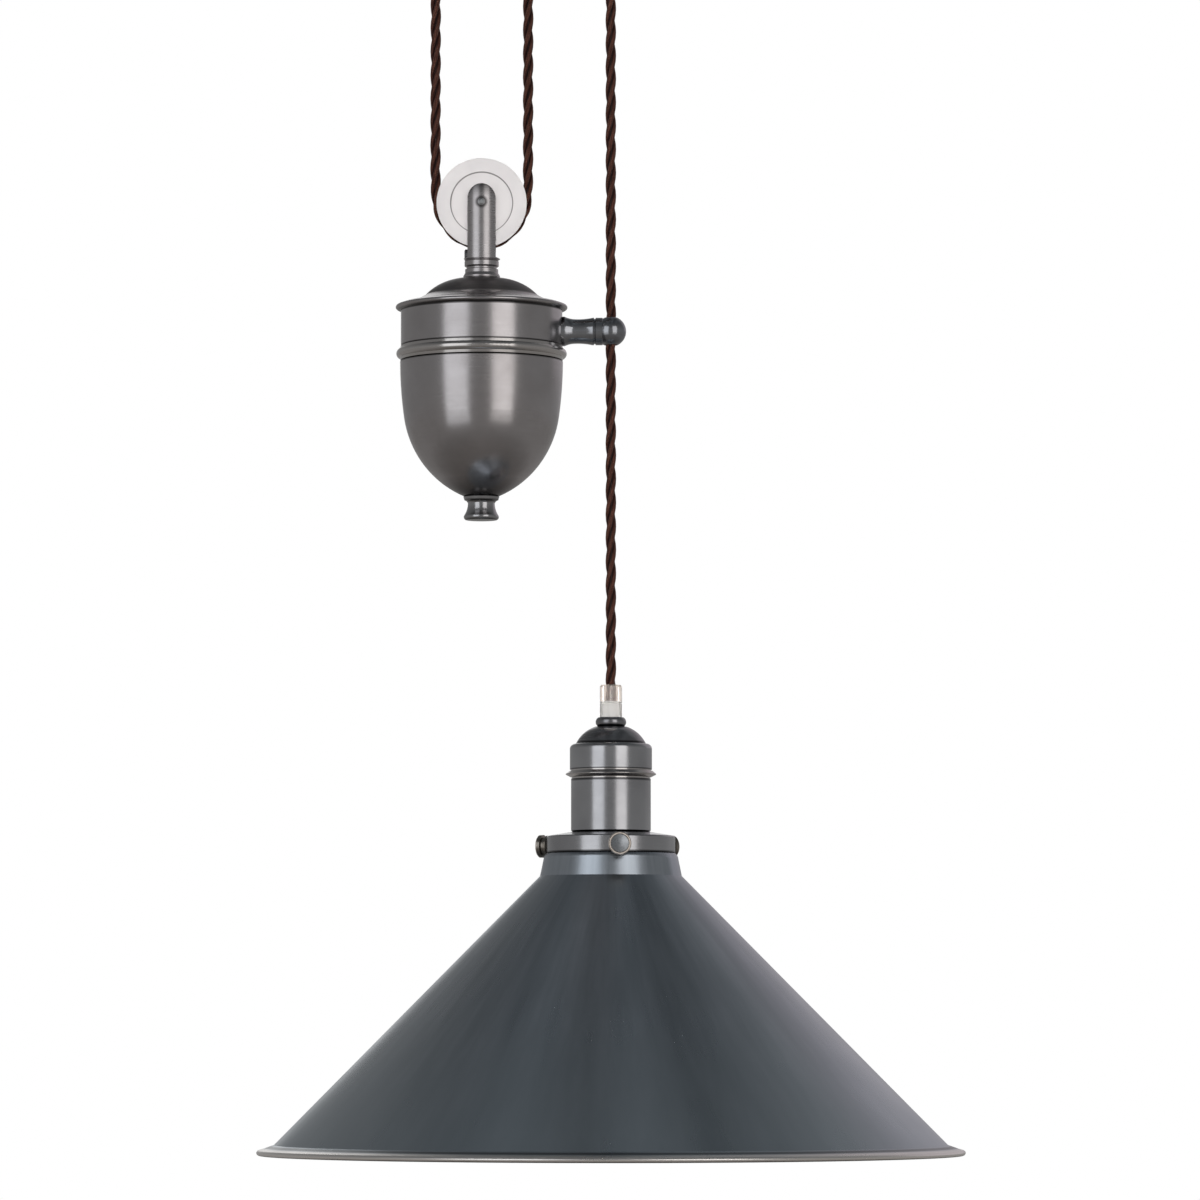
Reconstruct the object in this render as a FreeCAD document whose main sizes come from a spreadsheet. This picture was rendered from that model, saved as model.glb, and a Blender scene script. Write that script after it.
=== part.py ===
"""Rise and fall pendant: a cone shade on a braided flex, balanced by a weight that rides on a pulley.

Millimetres. +Z is up, +X is to the right seen from the front, +Y is away from the front.
The origin is on the ceiling, at the middle of the ceiling rose.
"""
import FreeCAD, Part
import math
import os
import re
import Sketcher

os.makedirs("parts", exist_ok=True)

V = FreeCAD.Vector

# Every driving size. The names are the aliases of the sheet "Sizes".
SIZES = {
    # where the three runs of flex hang
    "weight_x": -22.0,
    "weight_wheel_z": -200.0,
    "weight_pitch_r": 23.5,
    "weight_groove_r": 21.0,
    "roof_pitch_r": 21.0,
    "flex_r": 2.7,
    # ceiling rose and what is inside it
    "rose_r": 65.0,
    "rose_depth": 28.0,
    "rose_corner": 10.0,
    "rose_wall": 1.2,
    "bracket_len": 118.0,
    "bracket_wide": 14.0,
    "bracket_thick": 2.0,
    "slot_gap": 60.0,
    "slot_len": 12.0,
    "slot_wide": 4.6,
    "stud_y": 46.0,
    "stud_r": 2.0,
    "ball_nut_r": 6.0,
    "plate_len": 96.0,
    "plate_wide": 22.0,
    "plate_thick": 2.0,
    "block_len": 30.0,
    "block_wide": 18.0,
    "block_deep": 14.0,
    "block_screw_r": 1.8,
    "block_screw_gap": 9.0,
    "tail_bend_r": 8.0,
    # yoke: the same turned piece hangs under the ceiling and stands on the weight
    "yoke_r": 9.3,
    "yoke_drop": 38.4,
    "yoke_above": 9.3,
    "yoke_half_wide": 7.1,
    "yoke_slot_half": 4.7,
    "yoke_slot_depth": 24.8,
    "yoke_neck_r": 8.2,
    "yoke_screw_r": 1.0,
    "yoke_screw_head_r": 3.0,
    "yoke_screw_fall": 26.3,
    "yoke_bore_r": 2.5,
    "yoke_bore_deep": 8.0,
    "axle_r": 1.75,
    "axle_end": 0.5,
    # pulleys
    "wheel_half": 4.0,
    "hub_half": 4.4,
    "hub_r": 5.4,
    "web_half": 3.0,
    "flange_depth": 4.55,
    "flange_edge": 0.9,
    "rim_depth": 2.3,
    "bush_r": 3.0,
    "bush_gap": 0.05,
    # cord grips
    "grip_r": 5.55,
    "grip_len": 16.4,
    "grip_upper": 9.2,
    "grip_bore_gap": 0.06,
    "grip_stem_r": 4.4,
    "grip_screw_r": 1.5,
    "grip_screw_drop": 12.6,
    "grip_nut_af": 13.0,
    "grip_nut_tall": 2.6,
    # counterweight
    "lid_dome_r": 28.5,
    "lid_dome_fall": 8.4,
    "lid_lip_r": 43.7,
    "lid_lip_z": -251.9,
    "lid_lip_tall": 2.0,
    "lid_wall": 1.4,
    "band_r": 40.9,
    "band_top_z": -254.6,
    "band_wall": 1.5,
    "bead_top_z": -273.0,
    "bead_tall": 7.0,
    "bead_r": 43.2,
    "bowl_top_r": 41.25,
    "bowl_shoulder_r": 39.22,
    "bowl_shoulder_fall": 28.8,
    "bowl_turn_r": 28.85,
    "bowl_turn_fall": 53.4,
    "bowl_foot_r": 9.27,
    "bowl_foot_fall": 68.7,
    "bowl_wall": 1.5,
    "ballast_gap": 0.4,
    "ballast_upper_top": -254.6,
    "ballast_lower_len": 44.0,
    "rod_r": 2.5,
    "finial_flange_r": 9.1,
    "finial_flange_tall": 2.2,
    "finial_waist_r": 6.8,
    "finial_bulb_r": 9.1,
    "finial_tall": 12.6,
    # guide arm
    "arm_z": -265.1,
    "arm_foot_r": 7.5,
    "arm_foot_long": 1.2,
    "arm_stem_r": 7.0,
    "arm_waist_r": 6.25,
    "arm_ball_r": 7.75,
    "arm_bore_r": 3.5,
    "arm_stud_r": 3.0,
    "arm_stud_long": 14.0,
    # lampholder
    "grip_top_z": -444.5,
    "collar_r": 7.7,
    "collar_tall": 4.7,
    "dome_foot_r": 17.7,
    "dome_fall": 8.6,
    "dome_arc_r": 16.5,
    "cover_wall": 1.0,
    "cap_r": 20.7,
    "cap_tall": 13.0,
    "cap_corner": 2.6,
    "ring_r": 22.9,
    "ring_tall": 4.6,
    "shell_r": 20.1,
    "shell_tall": 26.9,
    "shell_neck_r": 18.0,
    "shell_neck_tall": 7.4,
    "core_r": 15.6,
    "core_flange_r": 19.4,
    "socket_r": 13.3,
    "socket_wall": 0.5,
    "socket_deep": 24.0,
    "socket_roof": 10.6,
    "contact_r": 4.0,
    # gallery and thumbscrews
    "gallery_r": 32.4,
    "gallery_tall": 10.3,
    "gallery_wall": 1.2,
    "gallery_nut_r": 21.6,
    "gallery_nut_tall": 3.6,
    "thumb_fall": 6.7,
    "thumb_first_turn": -83.5,
    "thumb_shank_r": 1.7,
    "thumb_fit": 0.06,
    "thumb_tip_gap": 0.3,
    "thumb_head_r": 5.75,
    "thumb_head_long": 5.7,
    "thumb_head_start": 33.7,
    # shade
    "shade_wall": 0.9,
    "collar_in_r": 28.5,
    "collar_lip_r": 29.8,
    "collar_up": 6.9,
    "neck_top_r": 33.9,
    "neck_top_fall": 3.0,
    "neck_r": 35.7,
    "neck_tall": 11.8,
    "cone_end_r": 168.9,
    "cone_tall": 134.7,
    "brim_r": 176.2,
    "brim_fall": 2.4,
    "roll_r": 1.5,
}

doc = FreeCAD.newDocument("RiseAndFallPendant")
sheet = doc.addObject("Spreadsheet::Sheet", "Sizes")
for row, (alias, value) in enumerate(SIZES.items(), start=1):
    sheet.set(f"A{row}", alias)
    sheet.set(f"B{row}", str(value))
    sheet.setAlias(f"B{row}", alias)
doc.recompute()

NODES = []


def bound(text):
    """Turn a formula in plain size names into one that reads the sheet."""
    def one(match):
        word = match.group(0)
        return f"Sizes.{word}" if word in SIZES else word
    return re.sub(r"[A-Za-z_][A-Za-z0-9_]*", one, str(text))


def value_of(text):
    result = sheet.evalExpression(bound(text))
    return float(getattr(result, "Value", result))


def origin_plane(body, role):
    for feature in body.Origin.OriginFeatures:
        if feature.Role == role:
            return feature
    raise ValueError(role)


def place(obj, x="0", y="0", z="0", turn=None, axis=(0, 0, 1)):
    """Bind an object's placement: where it stands and, if it has one, its turn in degrees."""
    obj.setExpression(".Placement.Base.x", bound(x))
    obj.setExpression(".Placement.Base.y", bound(y))
    obj.setExpression(".Placement.Base.z", bound(z))
    if turn is not None:
        obj.Placement = FreeCAD.Placement(V(0, 0, 0), FreeCAD.Rotation(V(*axis), 1.0))
        obj.setExpression(".Placement.Rotation.Angle", bound(turn))


def piece(name, **where):
    body = doc.addObject("PartDesign::Body", "B_" + name)
    body.Label = name
    place(body, **where)
    NODES.append(body)
    return body


def pin(sketch, geometry, end, across, up):
    """Hold one point of a sketch at (across, up), both of them formulas."""
    for kind, axis_id, text in (("DistanceX", -2, across), ("DistanceY", -1, up)):
        distance = value_of(text)
        if str(text) == "0":
            sketch.addConstraint(Sketcher.Constraint("PointOnObject", geometry, end, axis_id))
            continue
        index = sketch.addConstraint(
            Sketcher.Constraint(kind, -1, 1, geometry, end, distance))
        sketch.setExpression(f"Constraints[{index}]", bound(text))


def arc_between(start, finish, radius, side):
    """The short arc of a radius between two points; side 1 puts its middle left of the way.

    A sketch keeps its arcs anticlockwise, so an arc on the left is made from its far end.
    """
    chord = finish - start
    half = chord.Length / 2
    radius = max(radius, half * 1.0001)
    left = V(-chord.y, chord.x, 0).normalize()
    centre = (start + finish) * 0.5 - left * (side * math.sqrt(radius ** 2 - half ** 2))
    middle = centre + left * (side * radius)
    if side > 0:
        return Part.Arc(finish, middle, start)
    return Part.Arc(start, middle, finish)


def outline(body, name, role, corners):
    """A closed sketch. A corner is (across, up), or (across, up, radius, side) to reach it by an arc."""
    sketch = body.newObject("Sketcher::SketchObject", name)
    sketch.AttachmentSupport = [(origin_plane(body, role), "")]
    sketch.MapMode = "FlatFace"
    points = [V(value_of(c[0]), value_of(c[1]), 0) for c in corners]
    count = len(corners)
    ends = []
    for i in range(count):
        start = points[i]
        finish = points[(i + 1) % count]
        reach = corners[(i + 1) % count]
        if len(reach) == 2:
            geometry = sketch.addGeometry(Part.LineSegment(start, finish))
            ends.append((geometry, 1, 2, None))
            continue
        radius = value_of(reach[2])
        curve = arc_between(start, finish, radius, reach[3])
        geometry = sketch.addGeometry(curve)
        first, last = (2, 1) if reach[3] > 0 else (1, 2)
        ends.append((geometry, first, last, reach[2]))
    for i in range(count):
        following = ends[(i + 1) % count]
        sketch.addConstraint(
            Sketcher.Constraint("Coincident", ends[i][0], ends[i][2], following[0], following[1]))
    for i in range(count):
        pin(sketch, ends[i][0], ends[i][1], corners[i][0], corners[i][1])
    for geometry, _, _, radius in ends:
        if radius is not None:
            index = sketch.addConstraint(
                Sketcher.Constraint("Radius", geometry, value_of(radius)))
            sketch.setExpression(f"Constraints[{index}]", bound(radius))
    return sketch


def rings(body, name, role, circles):
    """A sketch of full circles, each (across, up, radius)."""
    sketch = body.newObject("Sketcher::SketchObject", name)
    sketch.AttachmentSupport = [(origin_plane(body, role), "")]
    sketch.MapMode = "FlatFace"
    for across, up, radius in circles:
        centre = V(value_of(across), value_of(up), 0)
        geometry = sketch.addGeometry(Part.Circle(centre, V(0, 0, 1), value_of(radius)))
        pin(sketch, geometry, 3, across, up)
        index = sketch.addConstraint(Sketcher.Constraint("Radius", geometry, value_of(radius)))
        sketch.setExpression(f"Constraints[{index}]", bound(radius))
    return sketch


def turn_up(body, sketch, axis="V_Axis", kind="Revolution"):
    feature = body.newObject("PartDesign::" + kind, kind + "_" + sketch.Name)
    feature.Profile = sketch
    feature.ReferenceAxis = (sketch, [axis])
    feature.Angle = 360
    return feature


def extrude(body, sketch, length, kind="Pad", both_ways=True, reverse=False):
    feature = body.newObject("PartDesign::" + kind, kind + "_" + sketch.Name)
    feature.Profile = sketch
    if both_ways:
        feature.SideType = "Symmetric"
    feature.Reversed = reverse
    feature.setExpression("Length", bound(length))
    return feature


def turned(name, corners, axis="V_Axis", plane="XZ_Plane", **where):
    """A piece turned about the upright axis, or about the level one for axis H_Axis."""
    body = piece(name, **where)
    turn_up(body, outline(body, "S_" + name, plane, corners), axis)
    return body


def drill(body, name, role, circles, length, both_ways=True, reverse=False):
    sketch = rings(body, name, role, circles)
    return extrude(body, sketch, length, "Pocket", both_ways, reverse)


def box_corners(x0, x1, y0, y1):
    return [(x0, y0), (x1, y0), (x1, y1), (x0, y1)]


def hex_nut(name, flats, tall, bore, **where):
    """A hexagon nut that stands on its local z = 0."""
    body = piece(name, **where)
    far = f"{flats} * 0.57735"
    near = f"{flats} * 0.288675"
    half = f"{flats} / 2"
    corners = [(far, "0"), (near, half), (f"-{near}", half),
               (f"-{far}", "0"), (f"-{near}", f"-{half}"), (near, f"-{half}")]
    extrude(body, outline(body, "S_" + name, "XY_Plane", corners), tall, both_ways=False)
    drill(body, "Bore_" + name, "XY_Plane", [("0", "0", bore)], f"{tall} * 3")
    return body


# Places that several pieces share.
LAMP_X = "(weight_x + weight_pitch_r + 2 * roof_pitch_r)"
ROOF_WHEEL_X = "(weight_x + weight_pitch_r + roof_pitch_r)"
ROOF_WHEEL_Z = "(-rose_depth - yoke_drop)"
FIXED_X = "(weight_x - weight_pitch_r)"
RISING_X = "(weight_x + weight_pitch_r)"
LID_TOP_Z = "(weight_wheel_z - yoke_drop)"
# The stiff flex leaves the weight's pulley by a wider arc than it lies in, from 45 degrees on.
EASE_R = "((weight_pitch_r - weight_groove_r * 0.707107) / 0.292893)"
EASE_X = "((" + EASE_R + " - weight_groove_r) * 0.707107)"
EASE_Z = "(weight_wheel_z + " + EASE_X + ")"
BOWL_TOP_Z = "(bead_top_z - bead_tall)"
FINIAL_Z = "(bead_top_z - bead_tall - bowl_foot_fall)"
COLLAR_Z = "(grip_top_z - grip_len)"
DOME_Z = "(grip_top_z - grip_len - collar_tall)"
CAP_Z = "(grip_top_z - grip_len - collar_tall - dome_fall)"
RING_Z = "(grip_top_z - grip_len - collar_tall - dome_fall - cap_tall)"
SHELL_Z = "(grip_top_z - grip_len - collar_tall - dome_fall - cap_tall - ring_tall)"
GALLERY_Z = ("(grip_top_z - grip_len - collar_tall - dome_fall - cap_tall - ring_tall"
             " - shell_tall)")
SHADE_Z = ("(grip_top_z - grip_len - collar_tall - dome_fall - cap_tall - ring_tall"
           " - shell_tall - gallery_tall)")


def make_bracket():
    """Strap on the ceiling: two slots for the ceiling's screws, two holes for the rose's studs."""
    body = piece("ceiling_bracket")
    half = "bracket_len / 2"
    wide = "bracket_wide / 2"
    strap = outline(body, "Strap", "XY_Plane", [
        (f"-{wide}", f"-{half}"), (wide, f"-{half}"), (wide, half), (f"-{wide}", half)])
    extrude(body, strap, "bracket_thick", both_ways=False, reverse=True)
    for side, tag in (("", "Back"), ("-", "Front")):
        inner = f"{side}(slot_gap - slot_len) / 2"
        outer = f"{side}(slot_gap + slot_len) / 2"
        edge = "slot_wide / 2"
        turn = -1 if side == "" else 1
        slot = outline(body, "Slot" + tag, "XY_Plane", [
            (f"-{edge}", inner), (edge, inner, "slot_wide / 2 + 0.01", turn),
            (edge, outer), (f"-{edge}", outer, "slot_wide / 2 + 0.01", turn)])
        extrude(body, slot, "bracket_thick * 4", "Pocket")
    drill(body, "StudHoles", "XY_Plane",
          [("0", "stud_y", "stud_r"), ("0", "-stud_y", "stud_r")], "bracket_thick * 4")
    return body


def make_rose():
    """Spun dish, open at the ceiling, flat underneath with round corners."""
    body = turned("ceiling_rose", [
        ("rose_r", "0"),
        ("rose_r", "-(rose_depth - rose_corner)"),
        ("rose_r - rose_corner", "-rose_depth", "rose_corner", 1),
        ("0", "-rose_depth"),
        ("0", "-(rose_depth - rose_wall)"),
        ("rose_r - rose_corner", "-(rose_depth - rose_wall)"),
        ("rose_r - rose_wall", "-(rose_depth - rose_corner)", "rose_corner - rose_wall", -1),
        ("rose_r - rose_wall", "0"),
    ])
    drill(body, "Holes", "XY_Plane", [
        ("0", "stud_y", "stud_r + 0.1"),
        ("0", "-stud_y", "stud_r + 0.1"),
        (FIXED_X, "0", "grip_stem_r"),
        (ROOF_WHEEL_X, "0", "rod_r"),
    ], "rose_depth * 3")
    return body


def make_load_plate():
    """Strap inside the rose that spreads the load of the pulley and of the fixed end."""
    body = piece("load_plate", z="-(rose_depth - rose_wall - plate_thick)")
    strap = outline(body, "Strap", "XY_Plane", box_corners(
        "-plate_len / 2 - 6", "plate_len / 2 - 6", "-plate_wide / 2", "plate_wide / 2"))
    extrude(body, strap, "plate_thick", both_ways=False, reverse=True)
    drill(body, "PlateHoles", "XY_Plane", [
        (FIXED_X, "0", "grip_stem_r"),
        (ROOF_WHEEL_X, "0", "rod_r"),
    ], "plate_thick * 4")
    return body


def make_studs():
    for tag, y in (("front", "-stud_y"), ("back", "stud_y")):
        turned("rose_stud_" + tag, [
            ("0", "0"), ("stud_r", "0"), ("stud_r", "-(rose_depth + 7)"), ("0", "-(rose_depth + 7)"),
        ], y=y)
        turned("rose_nut_" + tag, [
            ("stud_r", "0"),
            ("ball_nut_r * 0.72", "0"),
            ("ball_nut_r * 0.72", "-1.4"),
            ("ball_nut_r", "-(1.4 + ball_nut_r * 0.69)", "ball_nut_r", 1),
            ("0", "-(1.4 + ball_nut_r * 1.69)", "ball_nut_r + 0.02", 1),
            ("0", "-7.3"),
            ("stud_r", "-7.3"),
        ], y=y, z="-rose_depth")


def make_terminal_block():
    body = piece("terminal_block", z="-bracket_thick")
    shape = outline(body, "Block", "XY_Plane", box_corners(
        "-block_len / 2", "block_len / 2", "-block_wide / 2", "block_wide / 2"))
    extrude(body, shape, "block_deep", both_ways=False, reverse=True)
    wells = [(f"{i} * block_screw_gap", "0", "block_screw_r") for i in (-1, 0, 1)]
    well = rings(body, "Wells", "XY_Plane", wells)
    well.AttachmentOffset = FreeCAD.Placement(V(0, 0, 0), FreeCAD.Rotation())
    well.setExpression(".AttachmentOffset.Base.z", bound("-block_deep"))
    extrude(body, well, "block_deep - 5", "Pocket", both_ways=False, reverse=True)
    entry = rings(body, "Entry", "YZ_Plane", [("0", "-block_deep / 2", "flex_r")])
    entry.setExpression(".AttachmentOffset.Base.z", bound("-block_len / 2"))
    extrude(body, entry, "3.5", "Pocket", both_ways=False, reverse=True)
    for i, tag in ((-1, "left"), (0, "middle"), (1, "right")):
        turned("terminal_screw_" + tag, [
            ("0", "0"), ("block_screw_r", "0"), ("block_screw_r", "-(block_deep - 6)"),
            ("0", "-(block_deep - 6)"),
        ], x=f"{i} * block_screw_gap", z="-bracket_thick - 5")
    return body


def make_tail():
    """The flex above the rose's cord grip: up, one quarter bend, then level into the block."""
    top = value_of("-bracket_thick - block_deep / 2")
    bend = value_of("tail_bend_r")
    fixed = value_of(FIXED_X)
    floor = value_of("-rose_depth")
    finish = value_of("-block_len / 2 + 3.4")
    rise_end = V(fixed, 0, top - bend)
    level_start = V(fixed + bend, 0, top)
    centre = V(fixed + bend, 0, top - bend)
    middle = centre + V(-bend * math.sqrt(0.5), 0, bend * math.sqrt(0.5))
    route = Part.Wire([
        Part.LineSegment(V(fixed, 0, floor), rise_end).toShape(),
        Part.Arc(rise_end, middle, level_start).toShape(),
        Part.LineSegment(level_start, V(finish, 0, top)).toShape(),
    ])
    circle = Part.Wire([Part.Circle(V(fixed, 0, floor), V(0, 0, 1), value_of("flex_r")).toShape()])
    solid = route.makePipeShell([circle], True, True)
    tail = doc.addObject("Part::Feature", "B_flex_tail")
    tail.Label = "flex_tail"
    tail.Shape = solid
    NODES.append(tail)
    print("tail bend radius", bend, "length", round(route.Length, 2))


def make_yoke(name, upright, **where):
    """Turned yoke, made about the pulley's axis. Its foot points down if upright, else up."""
    body = piece(name, **where)
    way = "-" if upright else ""
    turn = 1 if upright else -1
    foot = f"{way}yoke_drop"

    def fall(distance):
        return f"{way}({distance})"

    bar = outline(body, "Bar", "XZ_Plane", [
        ("0", fall("-yoke_above")),
        ("yoke_r", fall("-yoke_above")),
        ("yoke_r", fall("yoke_slot_depth + 3.6")),
        ("yoke_neck_r", fall("yoke_slot_depth + 4.2")),
        ("yoke_neck_r + 0.5", fall("yoke_slot_depth + 4.8")),
        ("yoke_neck_r + 0.5", fall("yoke_slot_depth + 7.0")),
        ("yoke_neck_r", fall("yoke_slot_depth + 7.5")),
        ("yoke_neck_r - 0.6", fall("yoke_slot_depth + 7.8")),
        ("yoke_neck_r - 0.6", fall("yoke_slot_depth + 8.4")),
        ("yoke_neck_r + 0.2", fall("yoke_slot_depth + 8.8")),
        ("yoke_neck_r + 0.2", fall("yoke_slot_depth + 10.6")),
        ("yoke_r", fall("yoke_slot_depth + 12.2")),
        ("yoke_r", foot),
        ("0", foot),
    ])
    turn_up(body, bar)
    gap = outline(body, "Gap", "YZ_Plane", [
        ("-yoke_slot_half", fall("-yoke_above - 1")),
        ("yoke_slot_half", fall("-yoke_above - 1")),
        ("yoke_slot_half", fall("yoke_slot_depth")),
        ("-yoke_slot_half", fall("yoke_slot_depth")),
    ])
    extrude(body, gap, "yoke_r * 3", "Pocket")
    outside = "yoke_r + 1"
    crown = "(yoke_above - yoke_half_wide)"
    for side, tag in (("", "Right"), ("-", "Left")):
        flank = outline(body, "Flank" + tag, "XZ_Plane", [
            ("0", fall("-yoke_above")),
            (f"{side}yoke_half_wide", fall(f"-{crown}"), "yoke_half_wide + 0.01",
             turn * (1 if side == "" else -1)),
            (f"{side}yoke_half_wide", fall("yoke_slot_depth + 3.0")),
            (f"{side}({outside})", fall("yoke_slot_depth + 3.6")),
            (f"{side}({outside})", fall("-yoke_above - 1")),
            ("0", fall("-yoke_above - 1")),
        ])
        extrude(body, flank, "yoke_r * 3", "Pocket")
    drill(body, "AxleHole", "XZ_Plane", [("0", "0", "axle_r")], "yoke_r * 3")
    bore = outline(body, "StudHole", "XZ_Plane", [
        ("0", foot), ("yoke_bore_r", foot),
        ("yoke_bore_r", fall("yoke_drop - yoke_bore_deep")),
        ("0", fall("yoke_drop - yoke_bore_deep")),
    ])
    turn_up(body, bore, kind="Groove")
    return body


def make_axle(name, **where):
    """Plain pin whose two peened ends stand a little proud of the yoke."""
    half = "(yoke_r + axle_end)"
    return turned(name, [
        (f"-{half}", "0"),
        (f"-{half}", "axle_r * 0.6"),
        (f"-{half} + 0.4", "axle_r"),
        (f"{half} - 0.4", "axle_r"),
        (half, "axle_r * 0.6"),
        (half, "0"),
    ], axis="H_Axis", plane="YZ_Plane", **where)


def make_wheel(name, pitch, **where):
    """Grooved pulley, turned about the line it runs on: groove, two flanges, web and hub."""
    groove = f"({pitch} - flex_r)"
    flange = f"({groove} + flange_depth)"
    rim = f"({groove} - rim_depth)"
    body = turned(name, [
        ("-hub_half", "bush_r"),
        ("-hub_half", "hub_r"),
        ("-web_half", "hub_r"),
        ("-web_half", rim),
        ("-wheel_half", rim),
        ("-wheel_half", flange),
        ("-(wheel_half - flange_edge)", flange),
        ("-(wheel_half - flange_edge)", f"{groove} + 1.9"),
        ("-(wheel_half - flange_edge - 1.9)", groove),
        ("wheel_half - flange_edge - 1.9", groove),
        ("wheel_half - flange_edge", f"{groove} + 1.9"),
        ("wheel_half - flange_edge", flange),
        ("wheel_half", flange),
        ("wheel_half", rim),
        ("web_half", rim),
        ("web_half", "hub_r"),
        ("hub_half", "hub_r"),
        ("hub_half", "bush_r"),
    ], axis="H_Axis", plane="YZ_Plane", **where)
    return body


def make_bush(name, **where):
    return turned(name, [
        ("-hub_half", "axle_r + bush_gap"),
        ("-hub_half", "bush_r"),
        ("hub_half", "bush_r"),
        ("hub_half", "axle_r + bush_gap"),
    ], axis="H_Axis", plane="YZ_Plane", **where)


def make_grip(name, upright, stem, **where):
    """Clear cord grip. The end that faces the lamp or the rose is the one with the stem."""
    way = "-" if upright else ""
    bore = "(flex_r + grip_bore_gap)"

    def fall(distance):
        return f"{way}({distance})"

    body = turned(name, [
        (bore, "0"),
        ("grip_r - 0.6", "0"),
        ("grip_r", fall("0.6")),
        ("grip_r", fall("grip_upper - 0.3")),
        ("grip_r - 0.5", fall("grip_upper")),
        ("grip_r", fall("grip_upper + 0.3")),
        ("grip_r", fall("grip_len")),
        ("grip_stem_r", fall("grip_len")),
        ("grip_stem_r", fall(f"grip_len + {stem}")),
        (bore, fall(f"grip_len + {stem}")),
    ], **where)
    hole = rings(body, "ScrewHole", "XZ_Plane", [("0", fall("grip_screw_drop"), "grip_screw_r")])
    extrude(body, hole, "grip_r * 2", "Pocket", both_ways=False, reverse=False)
    return body


def make_grip_screw(name, **where):
    """Small screw that nips the flex from behind; slotted head."""
    body = turned(name, [
        ("flex_r + 0.3", "0"),
        ("flex_r + 0.3", "grip_screw_r"),
        ("grip_r", "grip_screw_r"),
        ("grip_r", "grip_screw_r + 0.7"),
        ("grip_r + 1.5", "grip_screw_r + 0.7"),
        ("grip_r + 1.5", "0"),
    ], axis="H_Axis", plane="YZ_Plane", **where)
    return body


def make_ceiling():
    make_bracket()
    make_rose()
    make_load_plate()
    make_studs()
    make_terminal_block()
    make_tail()
    make_yoke("ceiling_yoke", False, x=ROOF_WHEEL_X, z=ROOF_WHEEL_Z)
    turned("ceiling_yoke_stud", [
        ("0", "-yoke_bore_deep"), ("rod_r", "-yoke_bore_deep"),
        ("rod_r", "rose_wall + plate_thick + 4.6"), ("0", "rose_wall + plate_thick + 4.6"),
    ], x=ROOF_WHEEL_X, z="-rose_depth")
    hex_nut("ceiling_yoke_nut", "9", "3.6", "rod_r",
            x=ROOF_WHEEL_X, z="-(rose_depth - rose_wall - plate_thick)")
    make_axle("ceiling_axle", x=ROOF_WHEEL_X, z=ROOF_WHEEL_Z)
    make_grip("rose_grip", False, "rose_wall + plate_thick + 3.0",
              x=FIXED_X, z="-(rose_depth + grip_len)")
    make_grip_screw("rose_grip_screw", x=FIXED_X,
                    z="-(rose_depth + grip_len - grip_screw_drop)")
    hex_nut("rose_grip_nut", "grip_nut_af", "grip_nut_tall", "grip_stem_r",
            x=FIXED_X, z="-(rose_depth - rose_wall - plate_thick)")
    make_wheel("ceiling_wheel", "roof_pitch_r", x=ROOF_WHEEL_X, z=ROOF_WHEEL_Z)
    make_bush("ceiling_bush", x=ROOF_WHEEL_X, z=ROOF_WHEEL_Z)


def make_run(name, x, top, bottom):
    """One straight run of flex, from its top down."""
    run = doc.addObject("Part::Cylinder", "B_" + name)
    run.Label = name
    run.setExpression("Radius", bound("flex_r"))
    run.setExpression("Height", bound(f"{top} - {bottom}"))
    place(run, x=x, z=bottom)
    NODES.append(run)


def make_wrap(name, pitch, upright, **where):
    """Half a turn of flex round a pulley: over it if upright, else under it."""
    body = piece(name, **where)
    way = "" if upright else "-"
    section = rings(body, "Section", "YZ_Plane", [("0", f"{way}{pitch}", "flex_r")])
    feature = body.newObject("PartDesign::Revolution", "Half_" + name)
    feature.Profile = section
    feature.ReferenceAxis = (section, ["H_Axis"])
    feature.Angle = 180
    feature.Midplane = True


def open_path(body, name, role, corners):
    """An open chain of tangent arcs, with its corners pinned and its radii bound."""
    sketch = body.newObject("Sketcher::SketchObject", name)
    sketch.AttachmentSupport = [(origin_plane(body, role), "")]
    sketch.MapMode = "FlatFace"
    points = [V(value_of(c[0]), value_of(c[1]), 0) for c in corners]
    ends = []
    for start, finish, reach in zip(points, points[1:], corners[1:]):
        curve = arc_between(start, finish, value_of(reach[2]), reach[3])
        first, last = (2, 1) if reach[3] > 0 else (1, 2)
        ends.append((sketch.addGeometry(curve), first, last, reach[2]))
    for before, after in zip(ends, ends[1:]):
        sketch.addConstraint(
            Sketcher.Constraint("Coincident", before[0], before[2], after[0], after[1]))
    for end, corner in zip(ends, corners):
        pin(sketch, end[0], end[1], corner[0], corner[1])
    pin(sketch, ends[-1][0], ends[-1][2], corners[-1][0], corners[-1][1])
    for geometry, _, _, radius in ends:
        index = sketch.addConstraint(Sketcher.Constraint("Radius", geometry, value_of(radius)))
        sketch.setExpression(f"Constraints[{index}]", bound(radius))
    return sketch


def make_weight_wrap():
    """The flex under the weight's pulley: a wide arc in, a quarter turn in the groove, a wide arc out."""
    body = piece("flex_weight_wrap", x="weight_x", z="weight_wheel_z")
    deep = "weight_groove_r * 0.707107"
    path = open_path(body, "Route", "XZ_Plane", [
        ("-weight_pitch_r", EASE_X),
        (f"-{deep}", f"-{deep}", EASE_R, -1),
        (deep, f"-{deep}", "weight_groove_r", -1),
        ("weight_pitch_r", EASE_X, EASE_R, -1),
    ])
    section = rings(body, "Section", "XY_Plane", [("-weight_pitch_r", "0", "flex_r")])
    section.setExpression(".AttachmentOffset.Base.z", bound(EASE_X))
    feature = body.newObject("PartDesign::AdditivePipe", "Wrap")
    feature.Profile = section
    feature.Spine = (path, [f"Edge{i + 1}" for i in range(3)])


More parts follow.
